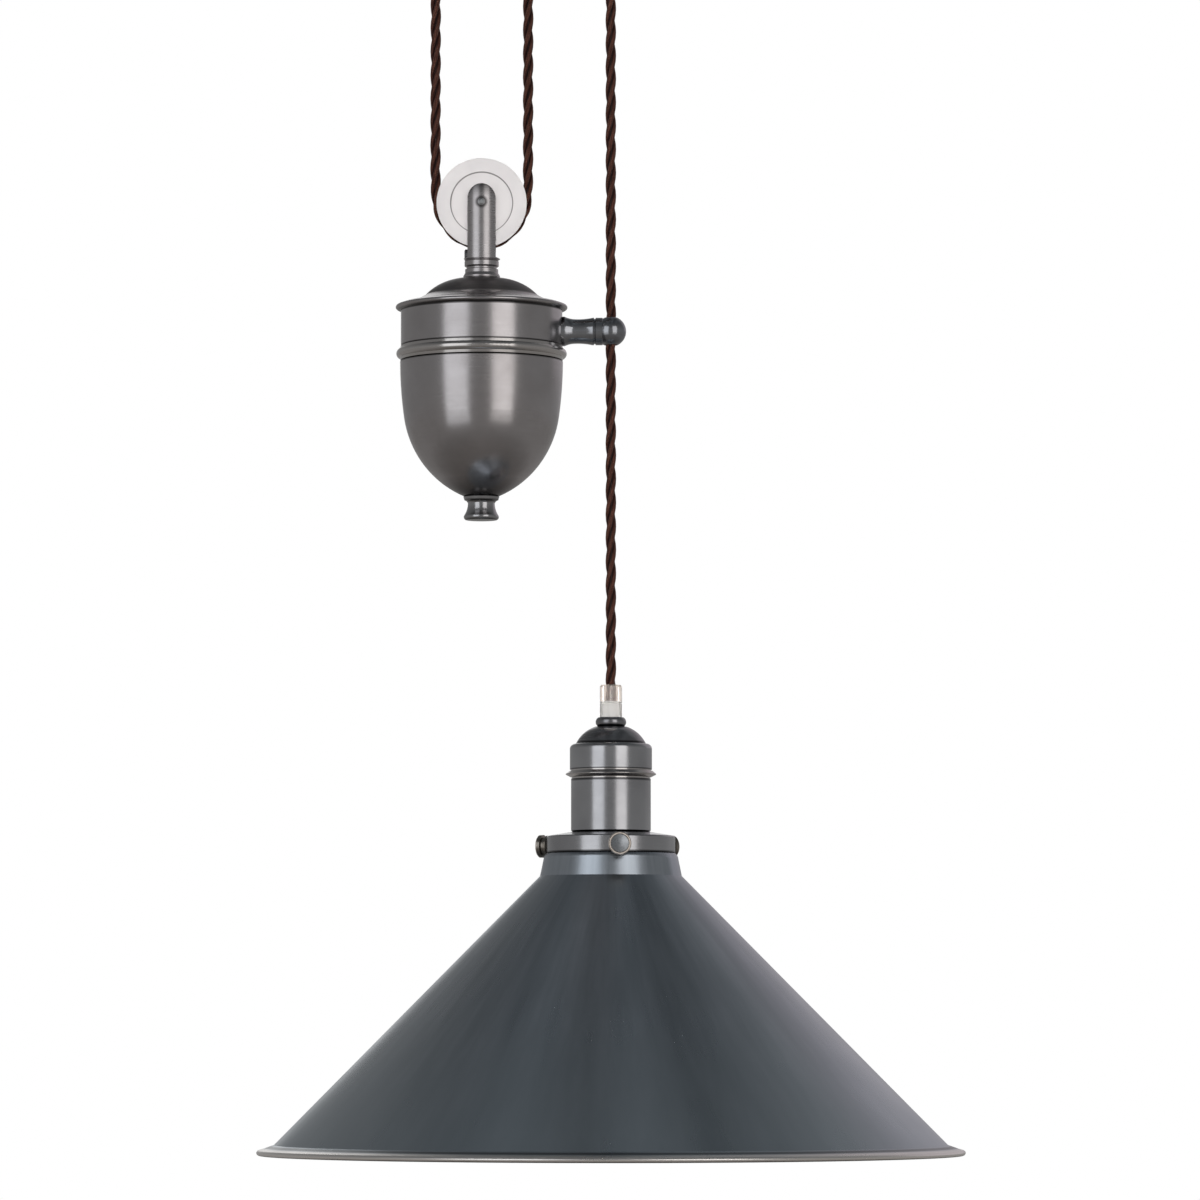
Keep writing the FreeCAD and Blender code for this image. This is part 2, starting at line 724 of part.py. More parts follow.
def tangent_corner(first, second, way_in, way_out):
    """Where the tangent lines of two points of a route cross."""
    across = way_in.x * way_out.z - way_in.z * way_out.x
    gap = second - first
    reach = (gap.x * way_out.z - gap.z * way_out.x) / across
    return first + way_in * reach


def wheel_corners(arcs):
    """Corners of the flex's route round one pulley.

    Each arc is (centre, radius, first angle, last angle, steps), in degrees from +X towards +Z.
    The corners lie where tangents of the arcs meet, so the tube's bends keep the arcs' radii.
    """
    touches = []
    for centre, radius, first, last, steps in arcs:
        for i in range(steps + 1):
            angle = math.radians(first + (last - first) * i / steps)
            out = V(math.cos(angle), 0, math.sin(angle))
            way = V(-out.z, 0, out.x) * (1 if last > first else -1)
            point = centre + out * radius
            if not touches or (point - touches[-1][0]).Length > 0.01:
                touches.append((point, way))
    return [tangent_corner(a[0], b[0], a[1], b[1]) for a, b in zip(touches, touches[1:])]


def flex_route():
    """The whole flex, from the terminal block to the lamp, as the corners of its runs."""
    fixed = value_of(FIXED_X)
    lamp = value_of(LAMP_X)
    level = value_of("-bracket_thick - block_deep / 2")
    wheel = V(value_of("weight_x"), 0, value_of("weight_wheel_z"))
    roof = V(value_of(ROOF_WHEEL_X), 0, value_of(ROOF_WHEEL_Z))
    ease, shift = value_of(EASE_R), value_of(EASE_X)
    route = [V(value_of("-block_len / 2 + 3.4"), 0, level)]
    route.append(V(fixed, 0, level))
    route += wheel_corners([
        (wheel + V(shift, 0, shift), ease, 180, 225, 2),
        (wheel, value_of("weight_groove_r"), 225, 315, 3),
        (wheel + V(-shift, 0, shift), ease, 315, 360, 2)])
    route += wheel_corners([(roof, value_of("roof_pitch_r"), 180, 0, 6)])
    route.append(V(lamp, 0, value_of(DOME_Z)))
    return route


def make_flex():
    make_run("flex_fixed_leg", FIXED_X, "(-rose_depth)", EASE_Z)
    make_run("flex_rising_leg", RISING_X, ROOF_WHEEL_Z, EASE_Z)
    make_run("flex_drop", LAMP_X, ROOF_WHEEL_Z, DOME_Z)
    make_wrap("flex_ceiling_wrap", "roof_pitch_r", True, x=ROOF_WHEEL_X, z=ROOF_WHEEL_Z)
    make_weight_wrap()
    for name, radius in (("ceiling wrap", "roof_pitch_r"), ("weight wrap", "weight_groove_r"),
                         ("weight wrap's ends", EASE_R), ("weight wrap's top", EASE_Z)):
        print(name, round(value_of(radius), 3))
    for corner in flex_route():
        print("route", round(corner.x, 2), round(corner.z, 2))


def make_weight():
    wheel_at = {"x": "weight_x", "z": "weight_wheel_z"}
    yoke = make_yoke("weight_yoke", True, **wheel_at)
    screw_hole = rings(yoke, "ScrewHole", "YZ_Plane", [("0", "-yoke_screw_fall", "yoke_screw_r")])
    extrude(yoke, screw_hole, "yoke_r * 2", "Pocket", both_ways=False)
    seat = rings(yoke, "ScrewSeat", "YZ_Plane", [("0", "-yoke_screw_fall", "yoke_screw_head_r + 0.2")])
    seat.setExpression(".AttachmentOffset.Base.z", bound("-yoke_half_wide"))
    extrude(yoke, seat, "yoke_r", "Pocket", both_ways=False)
    make_axle("weight_axle", **wheel_at)
    make_wheel("weight_wheel", "weight_groove_r", **wheel_at)
    make_bush("weight_bush", **wheel_at)
    lip = f"(lid_lip_z - {LID_TOP_Z})"
    turned("weight_lid", [
        ("rod_r", "0"),
        ("yoke_r", "0"),
        ("lid_dome_r", "-lid_dome_fall", "lid_dome_r * 0.947", 1),
        ("lid_lip_r - 3.6", f"{lip} + 0.9", "lid_dome_r * 0.912", -1),
        ("lid_lip_r - 1.0", f"{lip}"),
        ("lid_lip_r - 1.0", f"{lip} - lid_lip_tall", "lid_lip_tall * 0.51", 1),
        ("lid_lip_r - 2.4", "band_top_z - " + LID_TOP_Z),
        ("lid_lip_r - 6", "band_top_z - " + LID_TOP_Z),
        ("lid_dome_r - 1", "-lid_dome_fall - lid_wall"),
        ("yoke_r", "-lid_wall", "lid_dome_r * 0.912", -1),
        ("rod_r", "-lid_wall"),
    ], x="weight_x", z=LID_TOP_Z)
    band = turned("weight_band", [
        ("band_r - band_wall", f"band_top_z - {BOWL_TOP_Z}"),
        ("band_r", f"band_top_z - {BOWL_TOP_Z}"),
        ("band_r", "bead_tall + 0.6"),
        ("band_r - 0.5", "bead_tall + 0.6"),
        ("band_r - 0.5", "0"),
        ("band_r - band_wall", "0"),
    ], x="weight_x", z=BOWL_TOP_Z)
    arm_hole = rings(band, "ArmHole", "YZ_Plane",
                     [("0", f"arm_z - {BOWL_TOP_Z}", "arm_stud_r")])
    extrude(band, arm_hole, "band_r * 2", "Pocket", both_ways=False, reverse=True)
    turned("weight_bead", [
        ("band_r - 0.5", "bead_tall"),
        ("band_r + 0.2", "bead_tall"),
        ("band_r + 0.5", "bead_tall - 1.3"),
        ("bead_r - 1.0", "bead_tall - 1.5"),
        ("bead_r", "bead_tall / 2", "bead_tall * 0.36", 1),
        ("bead_r - 1.0", "1.5", "bead_tall * 0.36", 1),
        ("band_r + 0.5", "1.3"),
        ("band_r + 0.2", "0"),
        ("band_r - 0.5", "0"),
    ], x="weight_x", z=BOWL_TOP_Z)
    turned("weight_bowl", [
        ("band_r - band_wall", "0"),
        ("bowl_top_r - 0.8", "0"),
        ("bowl_top_r", "-0.7"),
        ("bowl_shoulder_r", "-bowl_shoulder_fall", "bowl_top_r * 5.067", 1),
        ("bowl_turn_r", "-bowl_turn_fall", "bowl_top_r * 1.2606", 1),
        ("bowl_foot_r", "-bowl_foot_fall", "bowl_top_r * 1.2242", 1),
        ("rod_r", "-bowl_foot_fall"),
        ("rod_r", "-(bowl_foot_fall - bowl_wall)"),
        ("bowl_foot_r - 0.6", "-(bowl_foot_fall - bowl_wall)"),
        ("bowl_turn_r - bowl_wall * 0.75", "-(bowl_turn_fall - bowl_wall * 0.66)", "bowl_top_r * 1.1879", -1),
        ("bowl_shoulder_r - bowl_wall", "-(bowl_shoulder_fall - 0.3)", "bowl_top_r * 1.2242", -1),
        ("band_r - band_wall - 0.3", "-2.4", "bowl_top_r * 5.018", -1),
    ], x="weight_x", z=BOWL_TOP_Z)
    ballast_r = "(band_r - band_wall - ballast_gap)"
    upper = turned("ballast_upper", [
        ("rod_r", f"ballast_upper_top - {BOWL_TOP_Z}"),
        (ballast_r, f"ballast_upper_top - {BOWL_TOP_Z}"),
        (ballast_r, "0"),
        ("rod_r", "0"),
    ], x="weight_x", z=BOWL_TOP_Z)
    stud_hole = rings(upper, "StudHole", "YZ_Plane",
                      [("0", f"arm_z - {BOWL_TOP_Z}", "arm_stud_r")])
    extrude(upper, stud_hole, "band_r * 2", "Pocket", both_ways=False, reverse=True)
    turned("ballast_lower", [
        ("rod_r", "0"),
        ("bowl_shoulder_r - bowl_wall - 1.4", "0"),
        ("bowl_shoulder_r - bowl_wall - 1.4", "-(bowl_shoulder_fall - 4)"),
        ("bowl_turn_r - bowl_wall + 1.0", "-ballast_lower_len", "bowl_top_r * 1.333", 1),
        ("rod_r", "-ballast_lower_len"),
    ], x="weight_x", z=BOWL_TOP_Z)
    rod_top = f"({LID_TOP_Z} + yoke_bore_deep)"
    turned("weight_rod", [
        ("0", f"{rod_top} - {FINIAL_Z}"),
        ("rod_r", f"{rod_top} - {FINIAL_Z}"),
        ("rod_r", "-7"),
        ("0", "-7"),
    ], x="weight_x", z=FINIAL_Z)
    hex_nut("weight_rod_nut", "10", "4", "rod_r", x="weight_x",
            z=f"{BOWL_TOP_Z} - ballast_lower_len - 4")
    turned("weight_finial", [
        ("rod_r", "0"),
        ("finial_flange_r - 0.3", "0"),
        ("finial_flange_r", "-0.6"),
        ("finial_flange_r - 0.5", "-finial_flange_tall"),
        ("finial_waist_r + 0.7", "-(finial_flange_tall + 0.5)"),
        ("finial_waist_r", "-(finial_flange_tall + 1.5)"),
        ("finial_bulb_r - 0.4", "-(finial_tall - 2.6)", "finial_tall * 0.9", -1),
        ("finial_bulb_r - 1.3", "-(finial_tall - 0.3)", "finial_tall * 0.13", 1),
        ("0", "-finial_tall", "finial_bulb_r * 10", 1),
        ("0", "-7.2"),
        ("rod_r", "-7.2"),
    ], x="weight_x", z=FINIAL_Z)
    turned("weight_yoke_screw", [
        ("-yoke_half_wide - 1.6", "0"),
        ("-yoke_half_wide - 1.6", "yoke_screw_head_r - 0.6"),
        ("-yoke_half_wide - 1.2", "yoke_screw_head_r"),
        ("-yoke_half_wide", "yoke_screw_head_r"),
        ("-yoke_half_wide", "yoke_screw_r"),
        ("-3", "yoke_screw_r"),
        ("-3", "0"),
    ], axis="H_Axis", x="weight_x", z="weight_wheel_z - yoke_screw_fall")


def make_guide_arm():
    """Turned arm on the band's right side; the flex of the lamp runs through its ball."""
    body = piece("guide_arm", x="weight_x", z="arm_z")
    reach = "(weight_pitch_r + 2 * roof_pitch_r)"
    bar = outline(body, "ArmProfile", "XZ_Plane", [
        ("band_r - 2", "0"),
        ("band_r - 2", "arm_foot_r"),
        ("band_r + arm_foot_long", "arm_foot_r"),
        ("band_r + 6.5", "arm_waist_r", "arm_waist_r * 2", -1),
        (f"{reach} - arm_ball_r - 1.5", "arm_stem_r", "arm_stem_r * 5", -1),
        (f"{reach} - arm_ball_r - 0.9", "arm_stem_r"),
        (f"{reach} - arm_ball_r - 0.6", "arm_stem_r - 0.6"),
        (f"{reach} - arm_ball_r - 0.2", "arm_stem_r - 0.6"),
        (f"{reach} - arm_ball_r + 0.1", "arm_stem_r"),
        (f"{reach} - arm_ball_r * 0.57", "arm_stem_r"),
        (f"{reach} - arm_ball_r * 0.516", "arm_ball_r * 0.8566"),
        (f"{reach}", "arm_ball_r", "arm_ball_r", 1),
        (f"{reach} + arm_ball_r", "0", "arm_ball_r + 0.01", 1),
    ])
    turn_up(body, bar, axis="H_Axis")
    drill(body, "Saddle", "XY_Plane", [("0", "0", "band_r")], "arm_foot_r * 3")
    stud = outline(body, "Stud", "XZ_Plane", box_corners(
        "band_r - arm_stud_long", "band_r + 1", "0", "arm_stud_r"))
    turn_up(body, stud, axis="H_Axis")
    drill(body, "FlexHole", "XY_Plane", [(reach, "0", "arm_bore_r")], "arm_ball_r * 4")
    return body


def make_lamp():
    at = {"x": LAMP_X}
    make_grip("lamp_grip", True, "collar_tall + cover_wall + 2.4", z="grip_top_z", **at)
    make_grip_screw("lamp_grip_screw", z="grip_top_z - grip_screw_drop", **at)
    turned("collar_nut", [
        ("grip_stem_r", "0"),
        ("collar_r - 1.3", "0"),
        ("collar_r", "-collar_tall / 2", "collar_tall * 0.56", 1),
        ("collar_r - 1.3", "-collar_tall", "collar_tall * 0.56", 1),
        ("grip_stem_r", "-collar_tall"),
    ], z=COLLAR_Z, **at)
    turned("dome_cap", [
        ("grip_stem_r", "0"),
        ("collar_r + 0.4", "0"),
        ("dome_foot_r", "-dome_fall", "dome_arc_r", 1),
        ("dome_foot_r - cover_wall", "-dome_fall"),
        ("collar_r - 0.2", "-cover_wall", "dome_arc_r - cover_wall", -1),
        ("grip_stem_r", "-cover_wall"),
    ], z=DOME_Z, **at)
    hex_nut("lamp_grip_nut", "grip_nut_af", "2.2", "grip_stem_r",
            z=DOME_Z + " - cover_wall - 2.2", **at)
    turned("holder_cap", [
        ("12", "0"),
        ("cap_r - cap_corner", "0"),
        ("cap_r", "-cap_corner", "cap_corner", 1),
        ("cap_r", "-cap_tall"),
        ("cap_r - cover_wall", "-cap_tall"),
        ("cap_r - cover_wall", "-cap_corner"),
        ("cap_r - cap_corner", "-cover_wall", "cap_corner - cover_wall", -1),
        ("12", "-cover_wall"),
    ], z=CAP_Z, **at)
    turned("holder_ring", [
        ("core_flange_r", "0"),
        ("cap_r - 0.5", "0"),
        ("cap_r - 0.5", "-0.5"),
        ("cap_r + 0.4", "-0.7"),
        ("ring_r - 0.4", "-(ring_tall / 2 - 0.4)"),
        ("ring_r - 0.4", "-(ring_tall / 2 + 0.4)", "0.42", 1),
        ("shell_r + 0.3", "-(ring_tall - 0.8)"),
        ("shell_r - 0.4", "-(ring_tall - 0.6)"),
        ("shell_r - 0.4", "-ring_tall"),
        ("core_flange_r", "-ring_tall"),
    ], z=RING_Z, **at)
    wall = "cover_wall"
    turned("holder_shell", [
        (f"shell_r - {wall}", "0"),
        ("shell_r", "0"),
        ("shell_r", "-(shell_tall - 0.8)"),
        ("shell_r - 0.8", "-shell_tall"),
        ("shell_neck_r", "-shell_tall"),
        ("shell_neck_r", "-(shell_tall + shell_neck_tall)"),
        (f"shell_neck_r - {wall}", "-(shell_tall + shell_neck_tall)"),
        (f"shell_neck_r - {wall}", f"-(shell_tall - {wall})"),
        (f"shell_r - {wall}", f"-(shell_tall - {wall})"),
    ], z=SHELL_Z, **at)
    socket_out = "(socket_r + socket_wall)"
    turned("socket_core", [
        ("0", "0"),
        ("core_flange_r", "0"),
        ("core_flange_r", "-ring_tall"),
        ("core_r", "-ring_tall"),
        ("core_r", "-(socket_deep + 9)"),
        (socket_out, "-(socket_deep + 9)"),
        (socket_out, "-8"),
        ("0", "-8"),
    ], z=RING_Z, **at)
    turned("screw_shell", [
        ("socket_r", "-socket_roof"),
        (socket_out, "-socket_roof"),
        (socket_out, "-(socket_deep + 8)"),
        ("socket_r", "-(socket_deep + 8)"),
    ], z=RING_Z, **at)
    turned("centre_contact", [
        ("0", "-8"),
        ("contact_r", "-8"),
        ("contact_r", "-9"),
        ("contact_r * 0.5", "-10.2"),
        ("0", "-10.2"),
    ], z=RING_Z, **at)
    gallery = turned("gallery", [
        ("shell_neck_r", "0"),
        ("shell_r + 0.3", "0"),
        ("gallery_r - 0.8", "-1.9"),
        ("gallery_r", "-2.7", "0.9", 1),
        ("gallery_r", "-gallery_tall"),
        ("gallery_r - gallery_wall", "-gallery_tall"),
        ("gallery_r - gallery_wall", "-3.2"),
        ("gallery_nut_r + 0.4", "-gallery_wall"),
        ("shell_neck_r", "-gallery_wall"),
    ], z=GALLERY_Z, **at)
    for tag, extra in (("A", 0), ("B", 120), ("C", 240)):
        hole = rings(gallery, "ThumbHole" + tag, "XZ_Plane",
                     [("0", "-thumb_fall", "thumb_shank_r + thumb_fit")])
        hole.MapMode = "FlatFace"
        hole.AttachmentOffset = FreeCAD.Placement(V(0, 0, 0), FreeCAD.Rotation(V(0, 1, 0), 1.0))
        hole.setExpression(".AttachmentOffset.Rotation.Angle", bound(f"thumb_first_turn + {extra} + 90"))
        extrude(gallery, hole, "gallery_r * 2", "Pocket", both_ways=False, reverse=True)
    turned("gallery_nut", [
        ("shell_neck_r", "0"),
        ("gallery_nut_r", "0"),
        ("gallery_nut_r", "-gallery_nut_tall"),
        ("shell_neck_r", "-gallery_nut_tall"),
    ], z=GALLERY_Z + " - gallery_wall", **at)


def make_thumbscrews():
    """Three spool-headed screws that hold the shade's collar, a third of a turn apart."""
    for number in (1, 2, 3):
        turn = f"thumb_first_turn + {(number - 1) * 120}"
        start = "thumb_head_start"
        step = "thumb_head_long"
        turned(f"thumbscrew_{number}", [
            ("collar_in_r + thumb_tip_gap", "0"),
            ("collar_in_r + thumb_tip_gap", "thumb_shank_r"),
            (start, "thumb_shank_r"),
            (start, "thumb_head_r * 0.86"),
            (f"{start} + {step} * 0.08", "thumb_head_r * 0.94"),
            (f"{start} + {step} * 0.26", "thumb_head_r * 0.94"),
            (f"{start} + {step} * 0.34", "thumb_head_r * 0.80"),
            (f"{start} + {step} * 0.52", "thumb_head_r * 0.80"),
            (f"{start} + {step} * 0.60", "thumb_head_r"),
            (f"{start} + {step} * 0.92", "thumb_head_r"),
            (f"{start} + {step}", "thumb_head_r * 0.92"),
            (f"{start} + {step}", "thumb_head_r * 0.84"),
            (f"{start} + {step} - 0.4", "thumb_head_r * 0.76"),
            (f"{start} + {step} - 0.1", "0", "thumb_head_r * 8", 1),
        ], axis="H_Axis", x=LAMP_X, z=GALLERY_Z + " - thumb_fall", turn=turn)


def make_shade():
    """Spun shade: collar inside the gallery, stepped neck, cone, short brim and rolled edge."""
    neck_in = "(neck_r - shade_wall)"
    slope = "(shade_wall * 1.41)"
    roll_mid = "(neck_tall + cone_tall + brim_fall + roll_r * 0.9)"
    turned("shade", [
        ("collar_in_r - shade_wall", "collar_up"),
        ("collar_lip_r", "collar_up"),
        ("collar_lip_r", "collar_up - shade_wall"),
        ("collar_in_r", "collar_up - shade_wall - 0.5"),
        ("collar_in_r", "0"),
        ("gallery_r - 0.8", "0"),
        ("neck_top_r", "-neck_top_fall", "neck_top_fall * 1.14", 1),
        ("neck_r", "-neck_tall"),
        ("cone_end_r", "-(neck_tall + cone_tall)"),
        ("brim_r - 0.4", "-(neck_tall + cone_tall + brim_fall)"),
        ("brim_r + roll_r", f"-{roll_mid}", "roll_r + 0.3", 1),
        ("brim_r", f"-({roll_mid} + roll_r)", "roll_r + 0.01", 1),
        ("brim_r - roll_r", f"-({roll_mid} + 0.2)", "roll_r + 0.1", 1),
        ("cone_end_r - 0.5", "-(neck_tall + cone_tall + shade_wall)"),
        (neck_in, f"-(neck_tall + {slope} * 0.42)"),
        ("neck_top_r - shade_wall", "-neck_top_fall"),
        ("gallery_r - 1.7", "-shade_wall", "neck_top_fall * 0.84", -1),
        ("collar_in_r - shade_wall", "-shade_wall"),
    ], x=LAMP_X, z=SHADE_Z)


def check_and_export():
    doc.recompute()
    bad = []
    for obj in doc.Objects:
        if "Invalid" in obj.State or "Error" in obj.State:
            bad.append((obj.Name, obj.State))
        if obj.TypeId == "Sketcher::SketchObject" and not obj.FullyConstrained:
            bad.append((obj.Name, "not fully constrained"))
    for node in NODES:
        shape = node.Shape
        if shape.isNull() or not shape.isValid() or len(shape.Solids) != 1:
            bad.append((node.Label, "null" if shape.isNull() else len(shape.Solids)))
    for entry in bad:
        print("BAD", entry)
    if bad:
        raise RuntimeError(f"{len(bad)} faults")
    for node in NODES:
        node.Shape.exportStep(os.path.join("parts", node.Label + ".step"))
        box = node.Shape.BoundBox
        print(f"{node.Label:20s} V {node.Shape.Volume:10.1f}  x {box.XMin:8.2f} {box.XMax:8.2f}"
              f"  y {box.YMin:8.2f} {box.YMax:8.2f}  z {box.ZMin:8.2f} {box.ZMax:8.2f}")
    print(len(NODES), "nodes")


make_ceiling()
make_flex()
make_weight()
make_guide_arm()
make_lamp()
make_thumbscrews()
make_shade()
check_and_export()
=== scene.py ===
import bpy
import math
import numpy as np
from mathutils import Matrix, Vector


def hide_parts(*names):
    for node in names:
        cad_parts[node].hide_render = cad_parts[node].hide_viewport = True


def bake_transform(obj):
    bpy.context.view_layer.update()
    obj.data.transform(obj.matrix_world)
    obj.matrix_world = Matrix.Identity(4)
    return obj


# Looks of a rise and fall pendant: materials, the twisted flex, the studio and the camera.
# Everything is in metres, in the frame of the CAD: +Z up, +X right, +Y away from the camera.
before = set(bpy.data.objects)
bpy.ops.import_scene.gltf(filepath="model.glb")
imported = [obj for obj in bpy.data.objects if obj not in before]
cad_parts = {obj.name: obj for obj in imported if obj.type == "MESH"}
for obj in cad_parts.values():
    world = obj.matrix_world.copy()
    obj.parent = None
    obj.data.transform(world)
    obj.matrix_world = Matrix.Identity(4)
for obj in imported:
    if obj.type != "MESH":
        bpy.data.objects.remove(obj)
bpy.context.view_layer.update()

# Upright lines that turned pieces share, and the heights of both pulleys' axles.
WEIGHT_X = -0.022
LAMP_X = 0.0435
ROOF_WHEEL_X = 0.0225
WEIGHT_WHEEL_Z = -0.2
ROOF_WHEEL_Z = -0.0664

# The thumbscrews' height, how far from the lamp's axis their heads' faces begin, and the radii
# between which a head's greyer face gives way to the painted highlight round its rim.
SCREW_Z = -0.5254
HEAD_OUT = 0.0389
HEAD_RIM = (0.0043, 0.0047)

# Painted shade darkens the lid's dome over this height, and its edge fades over this much to each
# side.
LID_SHADE_Z = -0.2472
LID_SHADE_EDGE = 0.0006

# The grip's nylon turns clear between these heights.
GRIP_CLEAR = (-0.4530, -0.4526)

# Painted shade in the seams and grooves of turned pieces: each has its height, half width and fade.
BOWL_SEAMS = ((-0.2546, 0.0004, 0.0004), (-0.2730, 0.0006, 0.0005), (-0.2800, 0.0007, 0.0006),
              (-0.3487, 0.0005, 0.0080))
YOKE_SEAMS = ((-0.1907, 0.0006, 0.0060), (-0.2384, 0.0004, 0.0005))
LID_SEAMS = ((-0.2546, 0.0004, 0.0005),)
FINIAL_SEAMS = ((-0.3487, 0.0004, 0.0005), (-0.3512, 0.0003, 0.0006), (-0.3613, 0.0003, 0.0010))
LAMP_SEAMS = ((-0.4872, 0.0003, 0.0005), (-0.4918, 0.0008, 0.0006), (-0.5187, 0.0004, 0.0005),
              (-0.5290, 0.0004, 0.0005))
DOME_SEAMS = ((-0.4742, 0.0008, 0.0006), (-0.4656, 0.0004, 0.0006))
SEAM_SHADE = 0.85

# Painted shadow in a ring round the yoke's pin, and in the corner of a pulley's web: the radii over
# which it begins and ends.
PIN_SHADOW_BEGINS = (0.0016, 0.0019)
PIN_SHADOW_ENDS = (0.0024, 0.0036)
WEB_SHADOW_BEGINS = (0.01530, 0.01560)
WEB_SHADOW_ENDS = (0.01598, 0.01606)

# Heights on the shade: it grows paler towards its foot, then come a painted shadow in the crease, a
# pale band that is both a worn edge and a painted highlight, and painted shade under the roll. The
# paint inside begins over the roll.
SHADE_PALER = (-0.600, -0.668)
CREASE_BEGINS = (-0.6758, -0.6762)
CREASE_ENDS = (-0.6772, -0.6768)
WORN_EDGE_AND_HIGHLIGHT = (-0.6768, -0.6776)
ROLL_SHADE = (-0.6801, -0.6804)
PAINT_BEGINS = (-0.6785, -0.6770)

# The flex: round cores of radius CORE_R, twisted round a circle of radius TWIST_R, one full twist
# in each LAY. A core is a row of rings of CORE_SIDES points.
CORES = 3
CORE_R = 0.00125
TWIST_R = 0.00144
LAY = 0.036
RING_STEP = 0.0012
CORE_SIDES = 12
SAME_POINT = 1e-9

# The braid's ribs: how many slant round a core each way, and their step along it.
RIBS_ROUND = 8
RIB_STEP = 0.0016

# The flex's route from the terminal block to the lamp, as x and z; y is 0 all along.
FLEX_ROUTE = [
    (-0.01160, -0.00900),
    (-0.02950, -0.00900),
    (-0.04550, -0.00900),
    (-0.04550, -0.02500),
    (-0.04550, -0.16800),
    (-0.04550, -0.19984),
    (-0.04100, -0.21069),
    (-0.03287, -0.21883),
    (-0.02200, -0.22174),
    (-0.01113, -0.21883),
    (-0.00300, -0.21070),
    (0.00150, -0.19984),
    (0.00150, -0.16800),
    (0.00150, -0.09280),
    (0.00150, -0.06077),
    (0.00713, -0.05103),
    (0.01687, -0.04540),
    (0.02813, -0.04540),
    (0.03787, -0.05103),
    (0.04350, -0.06077),
    (0.04350, -0.09280),
    (0.04350, -0.46560),
]

# The photograph is 1200 pixels wide, 0.505 mm each at the object. Its parts are seen from slightly
# different heights; the camera is between them, 3 m away, and looks up about 4 degrees.
PHOTO_WIDTH = 1200
PIXEL = 0.000505
VIEW_MIDDLE = Vector((0.0380, 0, -0.4015))
CAMERA_AT = Vector((0.0380, -3.0, -0.617))

# Light boxes, seen from the object: turn from the camera's side and rise, both in degrees, width,
# height, radiance and colour. Each fades towards its foot: a bright part over a dimmer one.
LIT_MIDDLE = Vector((0.02, 0, -0.42))
BOX_AWAY = 2.0
COOL = (0.95, 0.97, 1.0)
WARM = (1.0, 0.975, 0.96)
SOFT_BOXES = {
    "left_box": (-36, 14, 1.28, 1.70, 1.08, COOL),
    "right_box": (31, 14, 1.16, 1.70, 1.22, WARM),
    "left_foot": (-36, -15, 1.28, 0.42, 0.62, COOL),
    "right_foot": (31, -14.5, 1.16, 0.38, 0.56, WARM),
}

# Narrow fills for paint, plastic and braid: place and watts. Polished metal doesn't show them.
FILLS = {
    "front_fill": ((0.02, -3.4, -0.35), 4.6),
    "back_fill": ((0.02, 3.4, -0.35), 6.0),
    "low_fill": ((0.04, 0, -2.25), 3.5),
}
FILL_SIDE = 1.0
FILL_SPREAD = 46

FLOOR_REACH = 14.0
FLOOR_Z = -2.3
WHITE = (1, 1, 1, 1)


# ---------------------------------------------------------------- node helpers

def add(tree, kind, sockets=None, **settings):
    """Adds a shader node. A socket's value is a number, a colour or another node's output."""
    node = tree.nodes.new(kind)
    for key, value in settings.items():
        setattr(node, key, value)
    for key, value in (sockets or {}).items():
        if isinstance(value, bpy.types.NodeSocket):
            tree.links.new(value, node.inputs[key])
        else:
            node.inputs[key].default_value = value
    return node


def surface(name, **sockets):
    """A new material with one Principled shader; returns the material, its tree and the shader."""
    material = bpy.data.materials.new(name)
    material.use_nodes = True
    tree = material.node_tree
    tree.nodes.clear()
    shader = tree.nodes.new("ShaderNodeBsdfPrincipled")
    output = tree.nodes.new("ShaderNodeOutputMaterial")
    tree.links.new(shader.outputs["BSDF"], output.inputs["Surface"])
    for key, value in sockets.items():
        shader.inputs[key.replace("_", " ")].default_value = value
    return material, tree, shader


def wire(tree, shader, colour, roughness):
    """Joins a colour and a roughness to a shader."""
    tree.links.new(colour, shader.inputs["Base Color"])
    tree.links.new(roughness, shader.inputs["Roughness"])


def coordinates(tree, output="Object"):
    return tree.nodes.new("ShaderNodeTexCoord").outputs[output]


def axes(tree, vector):
    """A vector's x, y and z."""
    return add(tree, "ShaderNodeSeparateXYZ", {0: vector}).outputs


def vector_math(tree, operation, first, second, output="Vector"):
    node = add(tree, "ShaderNodeVectorMath", {0: first, 1: second}, operation=operation)
    return node.outputs[output]


def arithmetic(tree, operation, a, b=0.0, clamp=False):
    node = add(tree, "ShaderNodeMath", {0: a, 1: b}, operation=operation, use_clamp=clamp)
    return node.outputs[0]


def product(tree, first, *others):
    for value in others:
        first = arithmetic(tree, "MULTIPLY", first, value)
    return first


def distance(tree, a, b):
    """How far a point is from an axis, by its offsets to the two sides."""
    return arithmetic(tree, "SQRT", arithmetic(
        tree, "ADD", product(tree, a, a), product(tree, b, b)))


def away_from_pin(tree, vector, pin_x, pin_z):
    """How far a point is from the line of a pin that runs towards the camera."""
    x, _, z = axes(tree, vector)
    return distance(tree, arithmetic(tree, "SUBTRACT", x, pin_x),
                    arithmetic(tree, "SUBTRACT", z, pin_z))


def noise(tree, vector, scale, detail=3.0, roughness=0.5):
    node = add(tree, "ShaderNodeTexNoise", {
        "Vector": vector, "Scale": scale, "Detail": detail, "Roughness": roughness})
    return node.outputs["Fac"]


def spread(tree, value, low, high, to_low=0.0, to_high=1.0):
    """Maps a value from one range to another, and holds it inside the second."""
    node = add(tree, "ShaderNodeMapRange", {
        "Value": value, "From Min": low, "From Max": high, "To Min": to_low, "To Max": to_high})
    return node.outputs["Result"]


def varied(tree, pattern, to_low=0.0, to_high=1.0):
    """A value between two that follows a noise, which mostly lies between 0.3 and 0.7."""
    return spread(tree, pattern, 0.3, 0.7, to_low, to_high)


